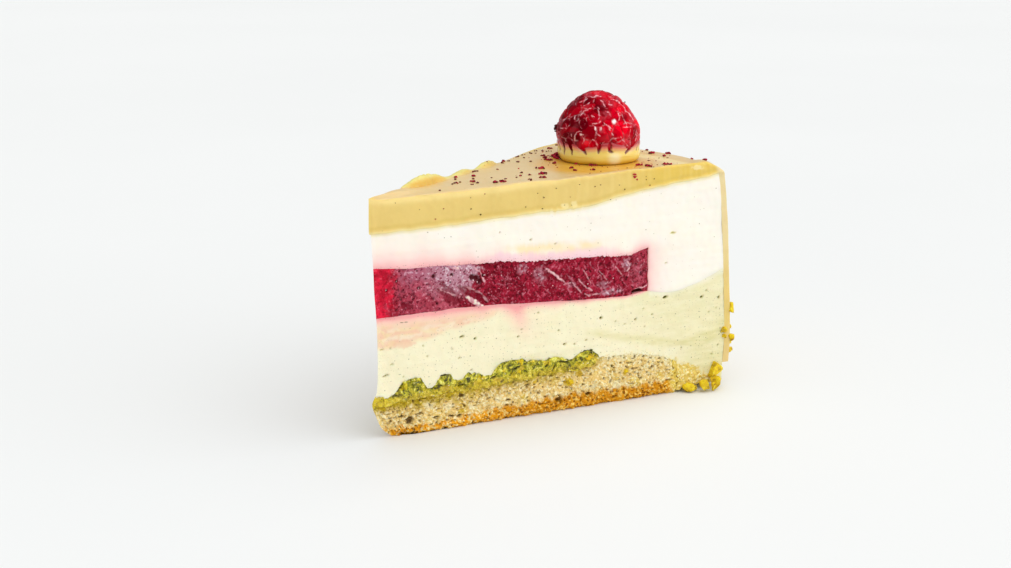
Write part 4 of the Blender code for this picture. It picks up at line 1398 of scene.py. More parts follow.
# The pale foot line and spots; the spot at the rim is a painted highlight.
colour = blend(tree, mark(tree, "pale", 0.75), colour, (0.90, 0.76, 0.38))
colour = blend(tree, mark(tree, "skin", 0.8), colour, (0.80, 0.67, 0.38))
colour = blend(tree, mark(tree, "amber", 0.6), colour, (0.77, 0.57, 0.28))
colour = glaze_colours(tree, block, colour)
tree.links.new(colour, shader.inputs["Base Color"])
tree.links.new(rise(tree, mark(tree, "cut"), -1.0, 1.6), shader.inputs["Roughness"])
tree.links.new(bump(tree, cloud(tree, block, 0.9, 2), 0.05), shader.inputs["Normal"])
settle(glaze_block, "poured_glaze", glaze_finish, "praline_glaze")

# %% [markdown]
# A raspberry is a cup of small juicy beads, in rings round a common middle. Modelling each bead
# and joining them is possible, but a single surface is simpler and lighter: every vertex of a
# fine ball finds the two beads nearest to it. Where both are equally near it lies in a groove,
# and where one is much nearer it is on that bead's flattened dome. The beads press on each
# other, as in a ripe berry. The ball's own outline is widest low down and rather pointed.
# Noise bends the rings a little. The vector form of this noise starts from the clock unless it
# has a seed, and then every run gives another berry, so the seed is fixed.

# %% Raspberry
BERRY_HEIGHT = 7.5
BERRY = Vector((79.85, 2.45, TOP + BERRY_HEIGHT))
BERRY_OUTLINE = (
    (0.0, 10.5), (2.0, 10.3), (3.8, 9.6), (5.8, 8.35), (7.6, 6.65), (9.1, 4.7), (10.3, 2.8),
    (11.1, 0.4), (11.1, -1.5), (10.75, -3.4), (10.1, -5.0), (7.6, -6.0), (0.0, -6.2),
)
BERRY_BY_ANGLE = tuple(sorted((math.atan2(r, z), math.hypot(r, z)) for r, z in BERRY_OUTLINE))
RINGS = ((0, 1), (17, 6), (34, 11), (51, 15), (67, 18), (84, 20), (110, 20), (138, 12))
BEAD = 0.5


def bead_centres():
    """Directions of the beads from the berry's middle, ring by ring, rather irregular."""
    chance = random.Random(12)
    centres = []
    for ring, (tilt, count) in enumerate(RINGS):
        for i in range(count):
            turn = math.tau * (i + 0.5 * (ring % 2)) / count + chance.gauss(0, 0.09)
            lean = math.radians(tilt) + chance.gauss(0, 0.045)
            flat = math.sin(lean)
            centres.append(Vector((flat * math.cos(turn), flat * math.sin(turn), math.cos(lean))))
    return centres


BEAD_SEED = 1796093489
noise.seed_set(BEAD_SEED)
beads = bead_centres()
bead_tree = kdtree.KDTree(len(beads))
for number, centre in enumerate(beads):
    bead_tree.insert(centre, number)
bead_tree.balance()
bead_chance = random.Random(3)
BEAD_HEIGHTS = [bead_chance.uniform(0.55, 1.0) for _ in beads]
BEAD_TONES = [bead_chance.random() for _ in beads]


def bead_at(way):
    """(how high the surface stands here, from 0 to 1, how far from a groove, and the bead)."""
    bent = way + 0.07 * noise.noise_vector(way * 2.6)
    (_, number, gap), (_, _, next_gap) = bead_tree.find_n(bent, 2)
    border = next_gap - gap
    inner = 1 - min(border / 0.24, 1.0)
    return math.sqrt(1 - inner**2) * BEAD_HEIGHTS[number], border, number


def outline_reach(way):
    return on_curve(BERRY_BY_ANGLE, math.acos(min(max(way.z, -1), 1)))


def berry_reach(way):
    """Distance of the berry's surface from its middle, along a direction."""
    return outline_reach(way) - BEAD * (1 - bead_at(way)[0])


# %% [markdown]
# A brushed clear gel lies over the berry. It has dried into pale wrinkles, raised a little in the mesh: thin
# threads along the seams and across the beads, and milky patches between them. Their pale colour is partly
# the gel's own and partly painted highlight, the shine of the wrinkles, and the milky patches at the left
# and right outline are painted rim light. Lit and shady patches, a lighter right side and a darker foot are
# painted light and shade in the berry's tone, and a few white spots are painted glints. On the side that
# shows, the larger marks are placed as they are seen, in millimetres right and up from the berry's middle.
# Near points are seen a little higher and further right, as the berry stands off the centre. On the other
# sides smooth chance does the same job: where a noise crosses zero it draws a thin line.

# %% Wrinkles of the gel, and the berry's painted light and shade
SEEN_RIGHT = Vector((0.717, -0.697, 0.0))
SEEN_UP = Vector((0.159, 0.164, 0.974))
SEEN_NEAR = Vector((-0.678, -0.698, 0.228))
THREADS = (
    (-4.6, 3.8, -3.7, 4.6, 0.16), (-3.7, 4.6, -1.5, 5.6, 0.13), (-4.8, 7.1, -3.7, 7.5, 0.09),
    (-3.7, 7.5, -2.6, 8.2, 0.13), (-3.7, 6.4, -2.1, 7.1, 0.05), (-2.3, 8.8, -1.2, 8.5, 0.13),
    (-1.2, 8.5, -0.1, 9.0, 0.13), (-0.1, 9.0, 0.9, 8.8, 0.13), (0.7, 7.7, 1.6, 6.8, 0.07),
    (1.6, 6.8, 2.1, 6.1, 0.11), (0.1, 6.0, 0.4, 5.3, 0.05), (0.2, 5.1, 0.5, 3.3, 0.11),
    (0.5, 3.3, 0.1, 2.6, 0.11), (2.1, 5.1, 3.2, 4.2, 0.11), (3.2, 4.2, 3.6, 3.5, 0.09),
    (-1.5, 3.5, -0.8, 3.4, 0.07), (-1.5, 1.6, -0.1, 1.6, 0.11), (-0.1, 1.6, 0.7, 2.2, 0.11),
    (1.8, 1.8, 2.0, 1.3, 0.11), (2.3, 1.5, 3.4, 0.2, 0.09), (-0.7, 0.9, -0.6, -0.2, 0.26),
    (0.3, 0.7, 0.5, -0.2, 0.11), (-0.6, -0.6, 0.5, -1.7, 0.13), (2.9, 0.4, 3.0, -0.2, 0.11),
    (3.6, -0.7, 4.0, -1.5, 0.07), (-10.0, 0.4, -8.1, 0.4, 0.16), (-7.9, 3.5, -7.4, 3.7, 0.07),
    (-6.1, 3.7, -6.0, 2.4, 0.07), (-6.3, -3.1, -6.2, -1.5, 0.09), (-6.2, -1.5, -5.7, -0.6, 0.09),
    (-5.7, -0.6, -4.1, -0.4, 0.11), (-4.8, -1.1, -3.7, -1.3, 0.21), (-4.3, -1.7, -3.7, -2.6, 0.09),
    (-3.7, -2.6, -4.1, -3.7, 0.09), (-7.2, -1.1, -7.0, -1.8, 0.07), (-1.5, -2.6, -0.6, -3.1, 0.07),
    (-0.6, -3.1, -0.2, -4.6, 0.11), (1.0, -3.5, 1.6, -3.3, 0.11), (4.3, -2.2, 5.5, -2.2, 0.11),
    (5.8, -1.8, 6.7, -3.1, 0.09), (6.7, -3.1, 7.7, -4.6, 0.11), (7.8, -1.5, 8.4, -2.6, 0.11),
    (8.4, -2.6, 8.2, -4.0, 0.11), (9.7, -0.4, 10.0, -1.5, 0.11), (10.0, -1.5, 9.7, -3.1, 0.11),
    (5.5, 4.4, 5.8, 3.3, 0.11), (5.8, 3.3, 5.5, 2.6, 0.11), (2.9, 6.8, 4.0, 6.4, 0.09),
    (3.6, 8.1, 5.5, 7.7, 0.11), (5.5, 7.7, 6.4, 6.4, 0.09), (6.4, 6.4, 7.8, 4.8, 0.09),
    (7.8, 4.8, 9.5, 2.6, 0.11), (7.3, 2.2, 7.4, 0.7, 0.07), (6.7, 0.7, 8.6, 0.7, 0.07),
    (-8.5, 1.6, -8.3, 0.9, 0.09), (-9.4, 2.6, -8.5, 2.9, 0.07), (-3.0, 2.9, -2.6, 3.3, 0.07),
    (-1.3, 3.3, -1.5, 3.7, 0.07),
)
# Milky patches of gel: right, up, half width, half height and strength. Those at the left and right outline
# are painted rim light.
MILKY_AND_RIM_LIGHT = (
    (2.0, 3.8, 1.8, 1.4, 0.7), (1.2, -0.2, 1.3, 0.9, 0.6), (-3.7, -2.6, 1.5, 1.7, 0.6),
    (7.5, -3.1, 1.8, 2.2, 0.75), (9.3, 3.3, 1.2, 3.2, 1.0), (-10.2, 2.9, 0.9, 3.0, 1.0),
    (-1.2, 9.3, 3.0, 1.0, 0.8), (-6.3, 7.3, 1.2, 1.0, 0.7), (5.4, 8.0, 1.6, 0.8, 0.7),
    (10.4, -1.0, 0.7, 2.0, 0.9), (1.6, 7.0, 0.9, 1.4, 0.5), (3.0, -3.9, 1.4, 1.0, 0.5),
)
# Painted shade (SHADY) and painted light (LIT) on the berry's tone, in the same columns.
SHADY = (
    (-6.7, 2.2, 2.6, 2.0, 0.8), (-7.6, -3.0, 3.4, 2.6, 1.2), (-4.1, 1.8, 1.6, 1.6, 0.5),
    (6.9, 3.3, 0.9, 1.2, 0.6),
)
LIT = (
    (7.1, 1.1, 2.4, 1.8, 1.0), (4.9, 4.6, 2.2, 1.8, 0.7), (-0.8, 7.0, 1.8, 1.4, 0.5),
    (2.1, -1.5, 2.4, 1.8, 0.5), (-3.7, 6.0, 1.8, 1.0, 0.4), (4.0, 8.6, 1.4, 0.8, 0.6),
)
# Painted glints: white spots where the light shines back from the gel.
GLINTS_ON_BERRY = (
    (4.3, 2.2, 0.65, 0.7, 1.0), (-0.6, 0.4, 0.2, 0.6, 0.9), (-4.5, -1.3, 0.4, 0.2, 0.9),
    (0.7, 0.3, 0.2, 0.5, 0.6),
)


def patches(x, y, spots):
    """How much of the soft patches of a list lies here."""
    found = (
        strength * (1 - ease(math.hypot((x - a) / wide, (y - b) / tall), 0.4, 1.2))
        for a, b, wide, tall, strength in spots
    )
    return max(found)


def threads_by_chance(way, border):
    x, y, z = way * 10.5
    seam = (1 - ease(border, 0.01, 0.04)) * ease(wander(x, y, z, 2.2), 0.0, 0.4)
    fold = 1 - ease(abs(wander(x, y, z + 30, 3.2)), 0.02, 0.08)
    fold *= ease(wander(x, y, z + 60, 1.8), 0.1, 0.5)
    fine = 1 - ease(abs(wander(x, y, z + 90, 1.4)), 0.02, 0.08)
    fine *= ease(wander(x, y, z + 99, 2.4), 0.35, 0.7)
    return max(seam, fold, fine)


berry_ball = bmesh.new()
bmesh.ops.create_icosphere(berry_ball, subdivisions=7, radius=1.0)
berry_names = ("raised", "thread", "tone", "milky_and_rim_light", "glint")
berry_layers = [berry_ball.verts.layers.float.new(name) for name in berry_names]
for vert in berry_ball.verts:
    way = vert.co.normalized()
    height, border, number = bead_at(way)
    place = way * outline_reach(way)
    nearer = place.dot(SEEN_NEAR)
    x, y = place.dot(SEEN_RIGHT) + 0.050 * nearer, place.dot(SEEN_UP) + 0.086 * nearer
    # The tone is each bead's own red with smooth chance, and painted shade that darkens the berry's foot.
    tone = (
        0.5
        + 0.35 * (BEAD_TONES[number] - 0.5)
        + 0.5 * wander(*place, 5.0)
        - 0.25 * (1 - ease(place.z, -4.5, -2.0))
    )
    # The threads are the gel's pale wrinkles, partly painted highlight.
    thread = threads_by_chance(way, border) * 0.8
    milky_and_rim_light = ease(wander(place.x, place.y, place.z + 120, 3.5), 0.45, 1.0)
    glint = 0.0
    seen = ease(nearer, -1.5, 2.0)
    if seen > 0:
        x += 0.14 * wander(x, y, 5, 0.9)
        y += 0.14 * wander(x, y, 9, 0.9)
        drawn = max(near_line(x, y, line, 0.13) for line in THREADS)
        thread = max((1 - 0.45 * seen) * thread, drawn * seen)
        milky_and_rim_patches = patches(x, y, MILKY_AND_RIM_LIGHT) * min(max(0.75 + 0.8 * wander(x, y, 40, 0.8), 0), 1.2)
        milky_and_rim_light = max(milky_and_rim_light * (1 - 0.7 * seen), milky_and_rim_patches * seen)
        # Painted light and shade: lit patches lighter, shady ones darker, and the right side a little
        # lighter.
        tone += seen * (0.5 * patches(x, y, LIT) - 0.55 * patches(x, y, SHADY) + 0.02 * x)
        # Painted glints.
        glint = patches(x, y, GLINTS_ON_BERRY) * seen
    for layer, value in zip(berry_layers, (height, thread, tone, milky_and_rim_light, glint)):
        vert[layer] = value
    lean = SEEN_RIGHT * -0.3 * ease(place.z, -2, 6)
    vert.co = BERRY + way * (berry_reach(way) + 0.08 * thread) + lean
print("raspberry has", len(beads), "beads")

# %% [markdown]
# The beads are translucent, so light that enters one leaves it red: a little subsurface and a deep,
# saturated colour, each bead slightly different, with painted lit and shaded patches. The grooves between
# the beads are painted darker, as shade. The threads and the milky patches are pale pink over that, partly
# painted highlight and rim light, and white glints are painted on top. A separate clear skin for the gel
# greys the red, because it mirrors the pale room, so the gel is a coat of the berry's own finish. Its low
# index keeps it clear in front, and pale only at the outline, as the real gel is.

# %% Raspberry finish
berry_finish, tree, shader = new_finish("Raspberry", 0.4, shine=0.0, soft=0.15)
shader.inputs["Subsurface Radius"].default_value = (1.0, 0.08, 0.08)
shader.inputs["Coat Weight"].default_value = 1.0
shader.inputs["Coat Roughness"].default_value = 0.06
shader.inputs["Coat IOR"].default_value = 1.06
block = place_in_block(tree)
tone = maths(tree, "ADD", mark(tree, "tone", 0.8), maths(tree, "MULTIPLY", cloud(tree, block, 2.2, 3), 0.4))
red = tones(
    tree,
    tone,
    (0.30, 0.52, 0.78, 1.0),
    ((0.14, 0.0, 0.004), (0.27, 0.0, 0.006), (0.42, 0.0, 0.009), (0.60, 0.0, 0.012), (0.86, 0.001, 0.018)),
)
# Painted shade: the grooves between the beads are painted darker.
groove = maths(
    tree,
    "MULTIPLY",
    rise(tree, mark(tree, "raised"), 0.45, 0.05),
    rise(tree, cloud(tree, block, 2.0, 2), 0.40, 0.60),
)
colour = blend(tree, maths(tree, "MULTIPLY", groove, 0.75), red, (0.10, 0.0, 0.003))
# The milky gel, and painted rim light at the outline.
colour = blend(tree, mark(tree, "milky_and_rim_light", 0.24), colour, (0.80, 0.20, 0.26))
# The threads: the gel's pale wrinkles, partly painted highlight.
thread = blend(
    tree, rise(tree, cloud(tree, block, 1.0, 2), 0.40, 0.60), (0.66, 0.09, 0.13), (0.97, 0.52, 0.56)
)
colour = blend(tree, mark(tree, "thread", 0.85), colour, thread)
# Painted glints: white spots.
colour = blend(tree, mark(tree, "glint"), colour, (1.0, 0.90, 0.90))
tree.links.new(colour, shader.inputs["Base Color"])
settle(berry_ball, "raspberry_with_beads", berry_finish, "raspberry")

# %% [markdown]
# The raspberry was set into a blob of the same glaze, which rose round it. Its foot is a smooth
# cushion, and its upper edge climbs onto the berry in rounded toes, with slanted grooves of dark
# juice between them. The cushion is a turned outline. Above it, the glaze follows the berry's own
# surface, thicker low down and thinner higher up. The grooves are short lines on the unrolled
# wall, in degrees round and millimetres up; those in front are placed as they are seen, and the
# others follow by chance.

# %% Collar
COLLAR_OUTLINE = (
    (0.01, 0.0), (9.3, 0.0), (9.8, 0.15), (10.2, 0.5), (10.5, 1.0), (10.7, 1.6), (10.8, 2.2),
    (10.8, 2.8), (10.75, 3.2), (10.7, 3.6), (10.65, 4.0), (10.55, 4.4), (10.45, 4.8), (10.4, 5.2),
    (10.3, 5.6), (10.2, 6.0), (10.1, 6.4), (10.0, 6.8), (9.0, 6.9), (8.0, 4.5), (0.01, 4.0),
)
COVER = (
    (2.0, 0.10), (2.8, 0.15), (3.6, 0.10), (4.4, 0.02), (5.0, -0.15), (5.4, -0.45), (6.0, -1.0),
    (6.6, -1.6),
)
SEEN_FROM = math.atan2(SEEN_NEAR.y, SEEN_NEAR.x)
JUICE_LINES = [
    (-90, 4.6, -88, 1.9, 0.45), (-74, 5.2, -72, 2.8, 0.4), (-60, 5.6, -58, 2.4, 0.45),
    (-46, 5.6, -42, 2.6, 0.5), (-32, 5.6, -20, 3.0, 0.65), (-1, 5.8, -3, 3.3, 0.45),
    (13, 5.8, 13, 3.6, 0.45), (11, 3.9, 17, 3.5, 0.5), (58, 5.2, 36, 2.9, 0.6), (46, 5.6, 40, 4.4, 0.3),
    (74, 5.4, 64, 3.2, 0.45),
]
chance = random.Random(4)
turn = 84.0
while turn < 262:
    foot_end = 2.7 + 1.8 * chance.random()
    JUICE_LINES.append((turn, 5.2, turn + chance.uniform(-14, 14), foot_end, chance.uniform(0.22, 0.42)))
    turn += chance.uniform(9, 34)
JUICE_LINES = [tuple((x * 0.18, y, a * 0.18, b, w)) for x, y, a, b, w in JUICE_LINES]

collar = bmesh.new()
corners = [collar.verts.new((r, 0, z)) for r, z in COLLAR_OUTLINE]
edges = [collar.edges.new(pair) for pair in zip(corners, corners[1:])]
bmesh.ops.subdivide_edges(collar, edges=edges[1:-1], cuts=2)
bmesh.ops.spin(
    collar,
    geom=collar.verts[:] + collar.edges[:],
    cent=(0, 0, 0),
    axis=(0, 0, 1),
    angle=math.tau,
    steps=300,
    use_merge=True,
)
bmesh.ops.remove_doubles(collar, verts=collar.verts[:], dist=0.03)
bmesh.ops.recalc_face_normals(collar, faces=collar.faces[:])
juice = collar.verts.layers.float.new("juice")
thin = collar.verts.layers.float.new("thin")
middle_of_berry = Vector((0, 0, BERRY_HEIGHT))
for vert in collar.verts:
    height = vert.co.z
    way = (vert.co - middle_of_berry).normalized()
    turn = math.atan2(vert.co.y, vert.co.x)
    round_wall = (math.degrees(turn - SEEN_FROM) + 90) % 360 - 90
    if height > 2.0 and vert.co.xy.length > 9.5:
        ragged = 0.9 * wander(math.cos(turn) * 9, math.sin(turn) * 9, 91, 3.5)
        wider = 0.75 + 0.9 * ease(height, 2.8, 5.2)
        lines = [
            (a, b, c, d, width * wider)
            for a, b, c, d, width in JUICE_LINES
            if abs(a - round_wall * 0.18) < 4
        ]
        groove = max((near_line(round_wall * 0.18, height, line, 0.25) for line in lines), default=0.0)
        cover = on_curve(COVER, height + ragged * ease(height, 2.8, 4.2))
        cover -= 0.6 * groove * ease(height, 2.4, 3.2)
        laid = way * (outline_reach(way) + cover) + middle_of_berry
        vert.co = vert.co.lerp(laid, ease(height, 2.4, 4.4))
        vert[thin] = ease(height + 0.5 * ragged, 2.9, 5.4)
        vert[juice] = groove
    else:
        wobble = 0.12 * wander(vert.co.x, vert.co.y, 93, 4)
        vert.co += Vector((math.cos(turn), math.sin(turn), 0)) * wobble * ease(vert.co.xy.length, 5, 9)
    vert.co += (SEEN_NEAR * 0.6 + SEEN_RIGHT * 0.2) * (1 - ease(height, -1.0, 5.0))
bmesh.ops.translate(collar, vec=(BERRY.x, BERRY.y, TOP - 0.42), verts=collar.verts[:])

# %% Collar finish
collar_finish, tree, shader = new_finish("Collar glaze", 0.22, shine=0.6, soft=0.3)
block = place_in_block(tree)
height = add_node(tree, "ShaderNodeSeparateXYZ", {0: block}).outputs[2]
# Painted shade and light: the cushion is painted darker towards its foot, where it curves under, and a pale
# spot on its front is a painted highlight.
shaded = blend(tree, rise(tree, height, TOP, TOP + 1.4), (0.72, 0.47, 0.03), (0.88, 0.69, 0.16))
from_light_spot = {0: block, 1: (75.2, -7.8, TOP + 1.4)}
lit_way = add_node(tree, "ShaderNodeVectorMath", from_light_spot, operation="DISTANCE").outputs["Value"]
shaded = blend(tree, rise(tree, lit_way, 2.7, 0.4), shaded, (0.95, 0.86, 0.52))
colour = blend(tree, rise(tree, mark(tree, "thin"), 0.0, 0.25), shaded, (0.86, 0.66, 0.24))
colour = blend(tree, rise(tree, mark(tree, "thin"), 0.10, 0.50), colour, (0.82, 0.44, 0.22))
colour = blend(tree, rise(tree, mark(tree, "thin"), 0.50, 0.80), colour, (0.72, 0.17, 0.13))
colour = blend(tree, rise(tree, mark(tree, "thin"), 0.78, 1.0), colour, (0.42, 0.005, 0.015))
colour = blend(tree, mark(tree, "juice", 0.95), colour, (0.15, 0.0, 0.003))
tree.links.new(colour, shader.inputs["Base Color"])
settle(collar, "berry_collar_glaze", collar_finish, "berry_collar")

# %% [markdown]
# Chopped pistachios cling round the foot of the rim, and a few higher up on the glaze. A
# chopped nut has some round and some flat, broken sides. A small ball of 320 faces, made uneven
# and then cut by a few random planes, gives that shape. Each nut carries a tone, from green to
# yellow, and some carry brown skin. One fault is left: six of the nuts at the ends of the two
# cuts stand up to 2.5 mm clear of the mousse, because the last numbers but one of FOOT_NUTS
# move them out of the cut and nothing holds them there.

# %% Chopped pistachios


def random_way(chance):
    return Vector((chance.gauss(0, 1), chance.gauss(0, 1), chance.gauss(0, 1))).normalized()


def chopped_nut(bm, centre, size, chance, layers, skinned=0.3, tone=None):
    """Add one nut to a bmesh: a ball with flats cut off it. size is its half width and height."""
    made = bmesh.ops.create_icosphere(bm, subdivisions=3, radius=1.0)["verts"]
    start = Vector((chance.uniform(0, 50), chance.uniform(0, 50), 0))
    flats = [(random_way(chance), chance.uniform(0.40, 0.72)) for i in range(8)]
    own_tone, skin = chance.random(), chance.random() < skinned
    tone = own_tone if tone is None else tone
    for vert in made:
        way = vert.co.copy()
        broken = 0.0
        for flat, depth in flats:
            over = way.dot(flat) - depth
            if over > 0:
                way -= flat * over
                broken = 1.0
        way *= 1 + 0.09 * noise.noise(way * 1.8 + start)
        brown = ease(noise.noise(way * 1.1 + start * 2), 0.0, 0.25) if skin else 0.0
        for layer, value in zip(layers, (tone, brown * (1 - broken), broken)):
            vert[layer] = value
        vert.co = centre + Vector((way.x * size[0], way.y * size[0], way.z * size[1]))


def from_tip(reach, angle, height):
    return Vector((reach * math.cos(angle), reach * math.sin(angle), height))


FOOT_NUTS = (
    (89.3, 1.6, 2.0, 1.7, -1.1, 0.0), (92.9, 1.8, 1.7, 2.0, -3.0, 0.0),
    (95.0, 1.6, 0.8, 1.5, -3.4, 1.0), (96.6, 2.0, 1.9, 2.1, -2.4, 0.0),
    (97.7, 4.6, 2.3, 2.5, -0.2, 0.0), (91.0, 0.9, 0.8, 0.9, -1.2, 0.0),
)
SIDE_NUTS = (
    (-0.985, 21.2, 1.4, 2.5), (-0.985, 12.9, 1.2, 1.3), (-0.97, 11.4, 0.9, 1.2), (-0.99, 9.4, 0.7, 0.9),
    (-0.96, 15.6, 0.7, 0.8),
)
BURIED_NUTS = (
    (1.2, 9.4, 1.3, 0.30, 0.0), (19.2, 10.8, 1.4, 0.45, 0.9), (53.6, 7.3, 1.3, 0.40, 0.9),
    (39.8, 14.0, 1.5, 0.40, 0.9), (39.0, 11.7, 1.2, 0.30, 0.3), (59.7, 13.1, 1.7, 0.6, 0.9),
    (70.3, 7.8, 1.0, 0.30, 0.9), (100.4, 15.0, 1.3, 0.8, 0.9), (100.2, 13.4, 0.9, 0.7, 0.9),
    (8.0, 12.4, 1.3, 0.3, 0.2), (47.9, 13.0, 1.2, 0.3, 0.25),
)
nuts = bmesh.new()
nut_layers = [nuts.verts.layers.float.new(name) for name in ("tone", "skin", "broken")]
chance = random.Random(21)
for side in (-1, 1):
    out_of_cut = Vector((-math.sin(HALF), side * math.cos(HALF), 0))
    for reach, height, wide, tall, inset, skinned in FOOT_NUTS:
        nudge = 0 if side < 0 else chance.uniform(-1.5, 1.0)
        centre = from_tip(reach + nudge, side * HALF, height) - out_of_cut * inset
        chopped_nut(nuts, centre, (wide, min(tall, height)), chance, nut_layers, skinned, 0.9)
    for reach, height, radius, out, tone in BURIED_NUTS:
        if side > 0 and reach < 61 and height > 9:
            reach, height = reach + 4, height - 0.5
        centre = from_tip(reach, side * HALF, height) + out_of_cut * (out - radius * 0.6)
        chopped_nut(nuts, centre, (radius, radius * 0.8), chance, nut_layers, 0.0, tone)
for share, height, wide, tall in SIDE_NUTS:
    centre = from_tip(SKIN_RIM + 0.55 + on_curve(RIM_LINE, height), share * HALF, height)
    chopped_nut(nuts, centre, (wide, tall), chance, nut_layers, 0.0, 0.9)
for i in range(30):
    angle = ((i + chance.uniform(0.2, 0.8)) / 30 - 0.5) * WEDGE * 0.95
    height = chance.uniform(1.2, 5.2)
    centre = from_tip(MOUSSE_RIM + chance.uniform(0.4, 1.8), angle, height)
    nut_size = (chance.uniform(1.0, 1.8), min(chance.uniform(1.0, 1.8), height))
    chopped_nut(nuts, centre, nut_size, chance, nut_layers)
for i in range(13):
    height = 7 + 17 * chance.random() ** 1.6
    angle = chance.uniform(-0.85, 0.97) * HALF
    centre = from_tip(SKIN_RIM + 0.3 + on_curve(RIM_LINE, height), angle, height)
    chopped_nut(nuts, centre, (chance.uniform(0.7, 1.3), chance.uniform(0.8, 1.5)), chance, nut_layers)

# %% Pistachio finish
nut_finish, tree, shader = new_finish("Chopped pistachio", 0.45, shine=0.2, soft=0.2)
block = place_in_block(tree)
mix = cloud(tree, block, 1.3, 4, 0.6)
golden = tones(
    tree,
    mix,
    (0.42, 0.54, 0.64),
    ((0.36, 0.19, 0.0), (0.70, 0.45, 0.001), (0.84, 0.63, 0.003), (0.93, 0.80, 0.10)),
)
green = tones(
    tree,
    mix,
    (0.42, 0.52, 0.64),
    ((0.30, 0.26, 0.006), (0.50, 0.42, 0.012), (0.66, 0.56, 0.03), (0.86, 0.78, 0.28)),
)
colour = blend(tree, rise(tree, mark(tree, "tone"), 0.35, 0.15), golden, green)
colour = blend(tree, mark(tree, "broken", 0.22), colour, (0.92, 0.76, 0.06))
colour = blend(tree, mark(tree, "skin", 0.85), colour, (0.20, 0.06, 0.008))
tree.links.new(colour, shader.inputs["Base Color"])
tree.links.new(bump(tree, mix, 0.5), shader.inputs["Normal"])
settle(nuts, "chopped_pistachios", nut_finish)

# %% [markdown]
# Crumbs of dried raspberry were sprinkled on the glaze: a cluster by the berry, a few larger
# ones, and fine dust. They lie where a hand would have dropped them, thickest round the berry.
# A crumb is a loose heap of rough grains with 80 faces each. Most are sunk a little in the
# glaze, and the upper ones of a heap lie on the others. All are one mesh.

# %% Raspberry crumbs
HEAPS = (
    (22.2, 10.6, 1.9), (17.2, 8.9, 0.8), (27.6, 18.7, 0.6), (19.9, 13.4, 0.7), (18.6, 11.4, 0.7),
    (14.7, 4.3, 0.7), (6.8, 1.0, 0.9), (1.6, -4.5, 1.0), (-2.2, -8.6, 0.7), (19.4, 0.6, 0.4),
    (12.9, -3.5, 0.5), (11.1, -6.6, 0.5), (14.8, -9.5, 0.6), (46.0, 0.1, 0.4), (42.7, -4.3, 0.9),
    (45.6, -7.9, 0.7), (27.9, -12.6, 0.9), (29.0, -15.1, 0.8), (34.8, -17.2, 0.8), (-17.8, 6.6, 0.4),
    (-13.4, 4.8, 0.5), (-18.6, -0.7, 0.4), (-15.6, -5.0, 0.8), (-13.4, -5.8, 0.9), (20.2, -3.8, 0.4),
    (21.4, -4.2, 0.5), (44.4, -16.9, 0.4), (42.8, -22.6, 0.5), (42.0, -9.5, 0.4), (7.4, 15.7, 0.4),
)


def rough_grain(bm, centre, radius, chance, layer, tone=None):
    """Add one grain: a few dozen faces, pulled about by chance."""
    made = bmesh.ops.create_icosphere(bm, subdivisions=2, radius=1.0)["verts"]
    stretch = Vector((chance.uniform(0.7, 1.4), chance.uniform(0.7, 1.3), chance.uniform(0.5, 1.0))) * radius
    turn = Matrix.Rotation(chance.uniform(0, math.tau), 3, "Z")
    start = Vector((chance.uniform(0, 50), chance.uniform(0, 50), 0))
    own_tone = chance.random()
    for vert in made:
        rough = 1 + 0.8 * noise.noise(vert.co * 1.5 + start)
        vert.co = centre + turn @ Vector(a * b for a, b in zip(vert.co * rough, stretch))
        vert[layer] = own_tone if tone is None else tone


crumbs = bmesh.new()
crumb_tone = crumbs.verts.layers.float.new("tone")
CUT_SPECKS = (
    (18.7, 54.8), (26.0, 56.8), (26.0, 54.1), (6.2, 57.3), (2.6, 51.0), (41.0, 53.2), (46.0, 55.1),
    (44.3, 56.3), (45.6, 52.4), (28.6, 52.5), (16.5, 52.5), (49.5, 57.1), (62.1, 56.9), (60.5, 56.6),
    (67.5, 56.4), (56.0, 57.5), (53.5, 54.6), (64.9, 53.0), (75.5, 57.1), (77.8, 57.1), (69.1, 55.2),
    (76.5, 55.6), (51.9, 52.7), (53.9, 52.5), (29.8, 57.4),
)
FLECKS = (
    (30.9, 4.7), (25.8, 0.6), (27.8, 0.7), (29.4, 1.0), (19.0, -3.0), (38.4, 0.4), (56.1, 14.1),
    (59.5, 15.0), (59.6, 12.5), (64.7, 17.2), (66.9, 17.8), (65.1, 15.2), (70.1, 17.7), (62.6, 10.4),
    (49.7, 0.2), (53.0, 4.6), (43.3, -4.3), (45.9, -3.0), (48.7, -3.9), (43.4, -8.2), (41.7, -10.9),
    (48.4, 7.8), (42.3, 9.8), (31.3, -2.8), (34.6, 2.1), (29.1, -3.5), (40.2, -3.9), (73.3, 19.0),
    (74.6, 17.7), (75.6, 16.3), (70.6, 18.4), (43.2, 9.4), (41.2, 9.5), (76.3, -19.6), (87.0, -19.8),
)
chance = random.Random(8)


def on_glaze(spot):
    """The point of the glaze's top over a place on the plan, where the rim leans in a little."""
    reach = spot.xy.length
    share = (math.atan2(spot.y, spot.x) + HALF) / WEDGE
    return Vector((spot.x, spot.y, glaze_top(reach + 1.3 * ease(reach, 86, 97), share)))


def on_cut(reach, height):
    """The point of the glaze's front cut at a distance from the tip and a height."""
    out_of_front = Vector((-math.sin(HALF), -math.cos(HALF), 0))
    return from_tip(reach, -HALF, height) + out_of_front * glaze_relief(reach, height, -1)


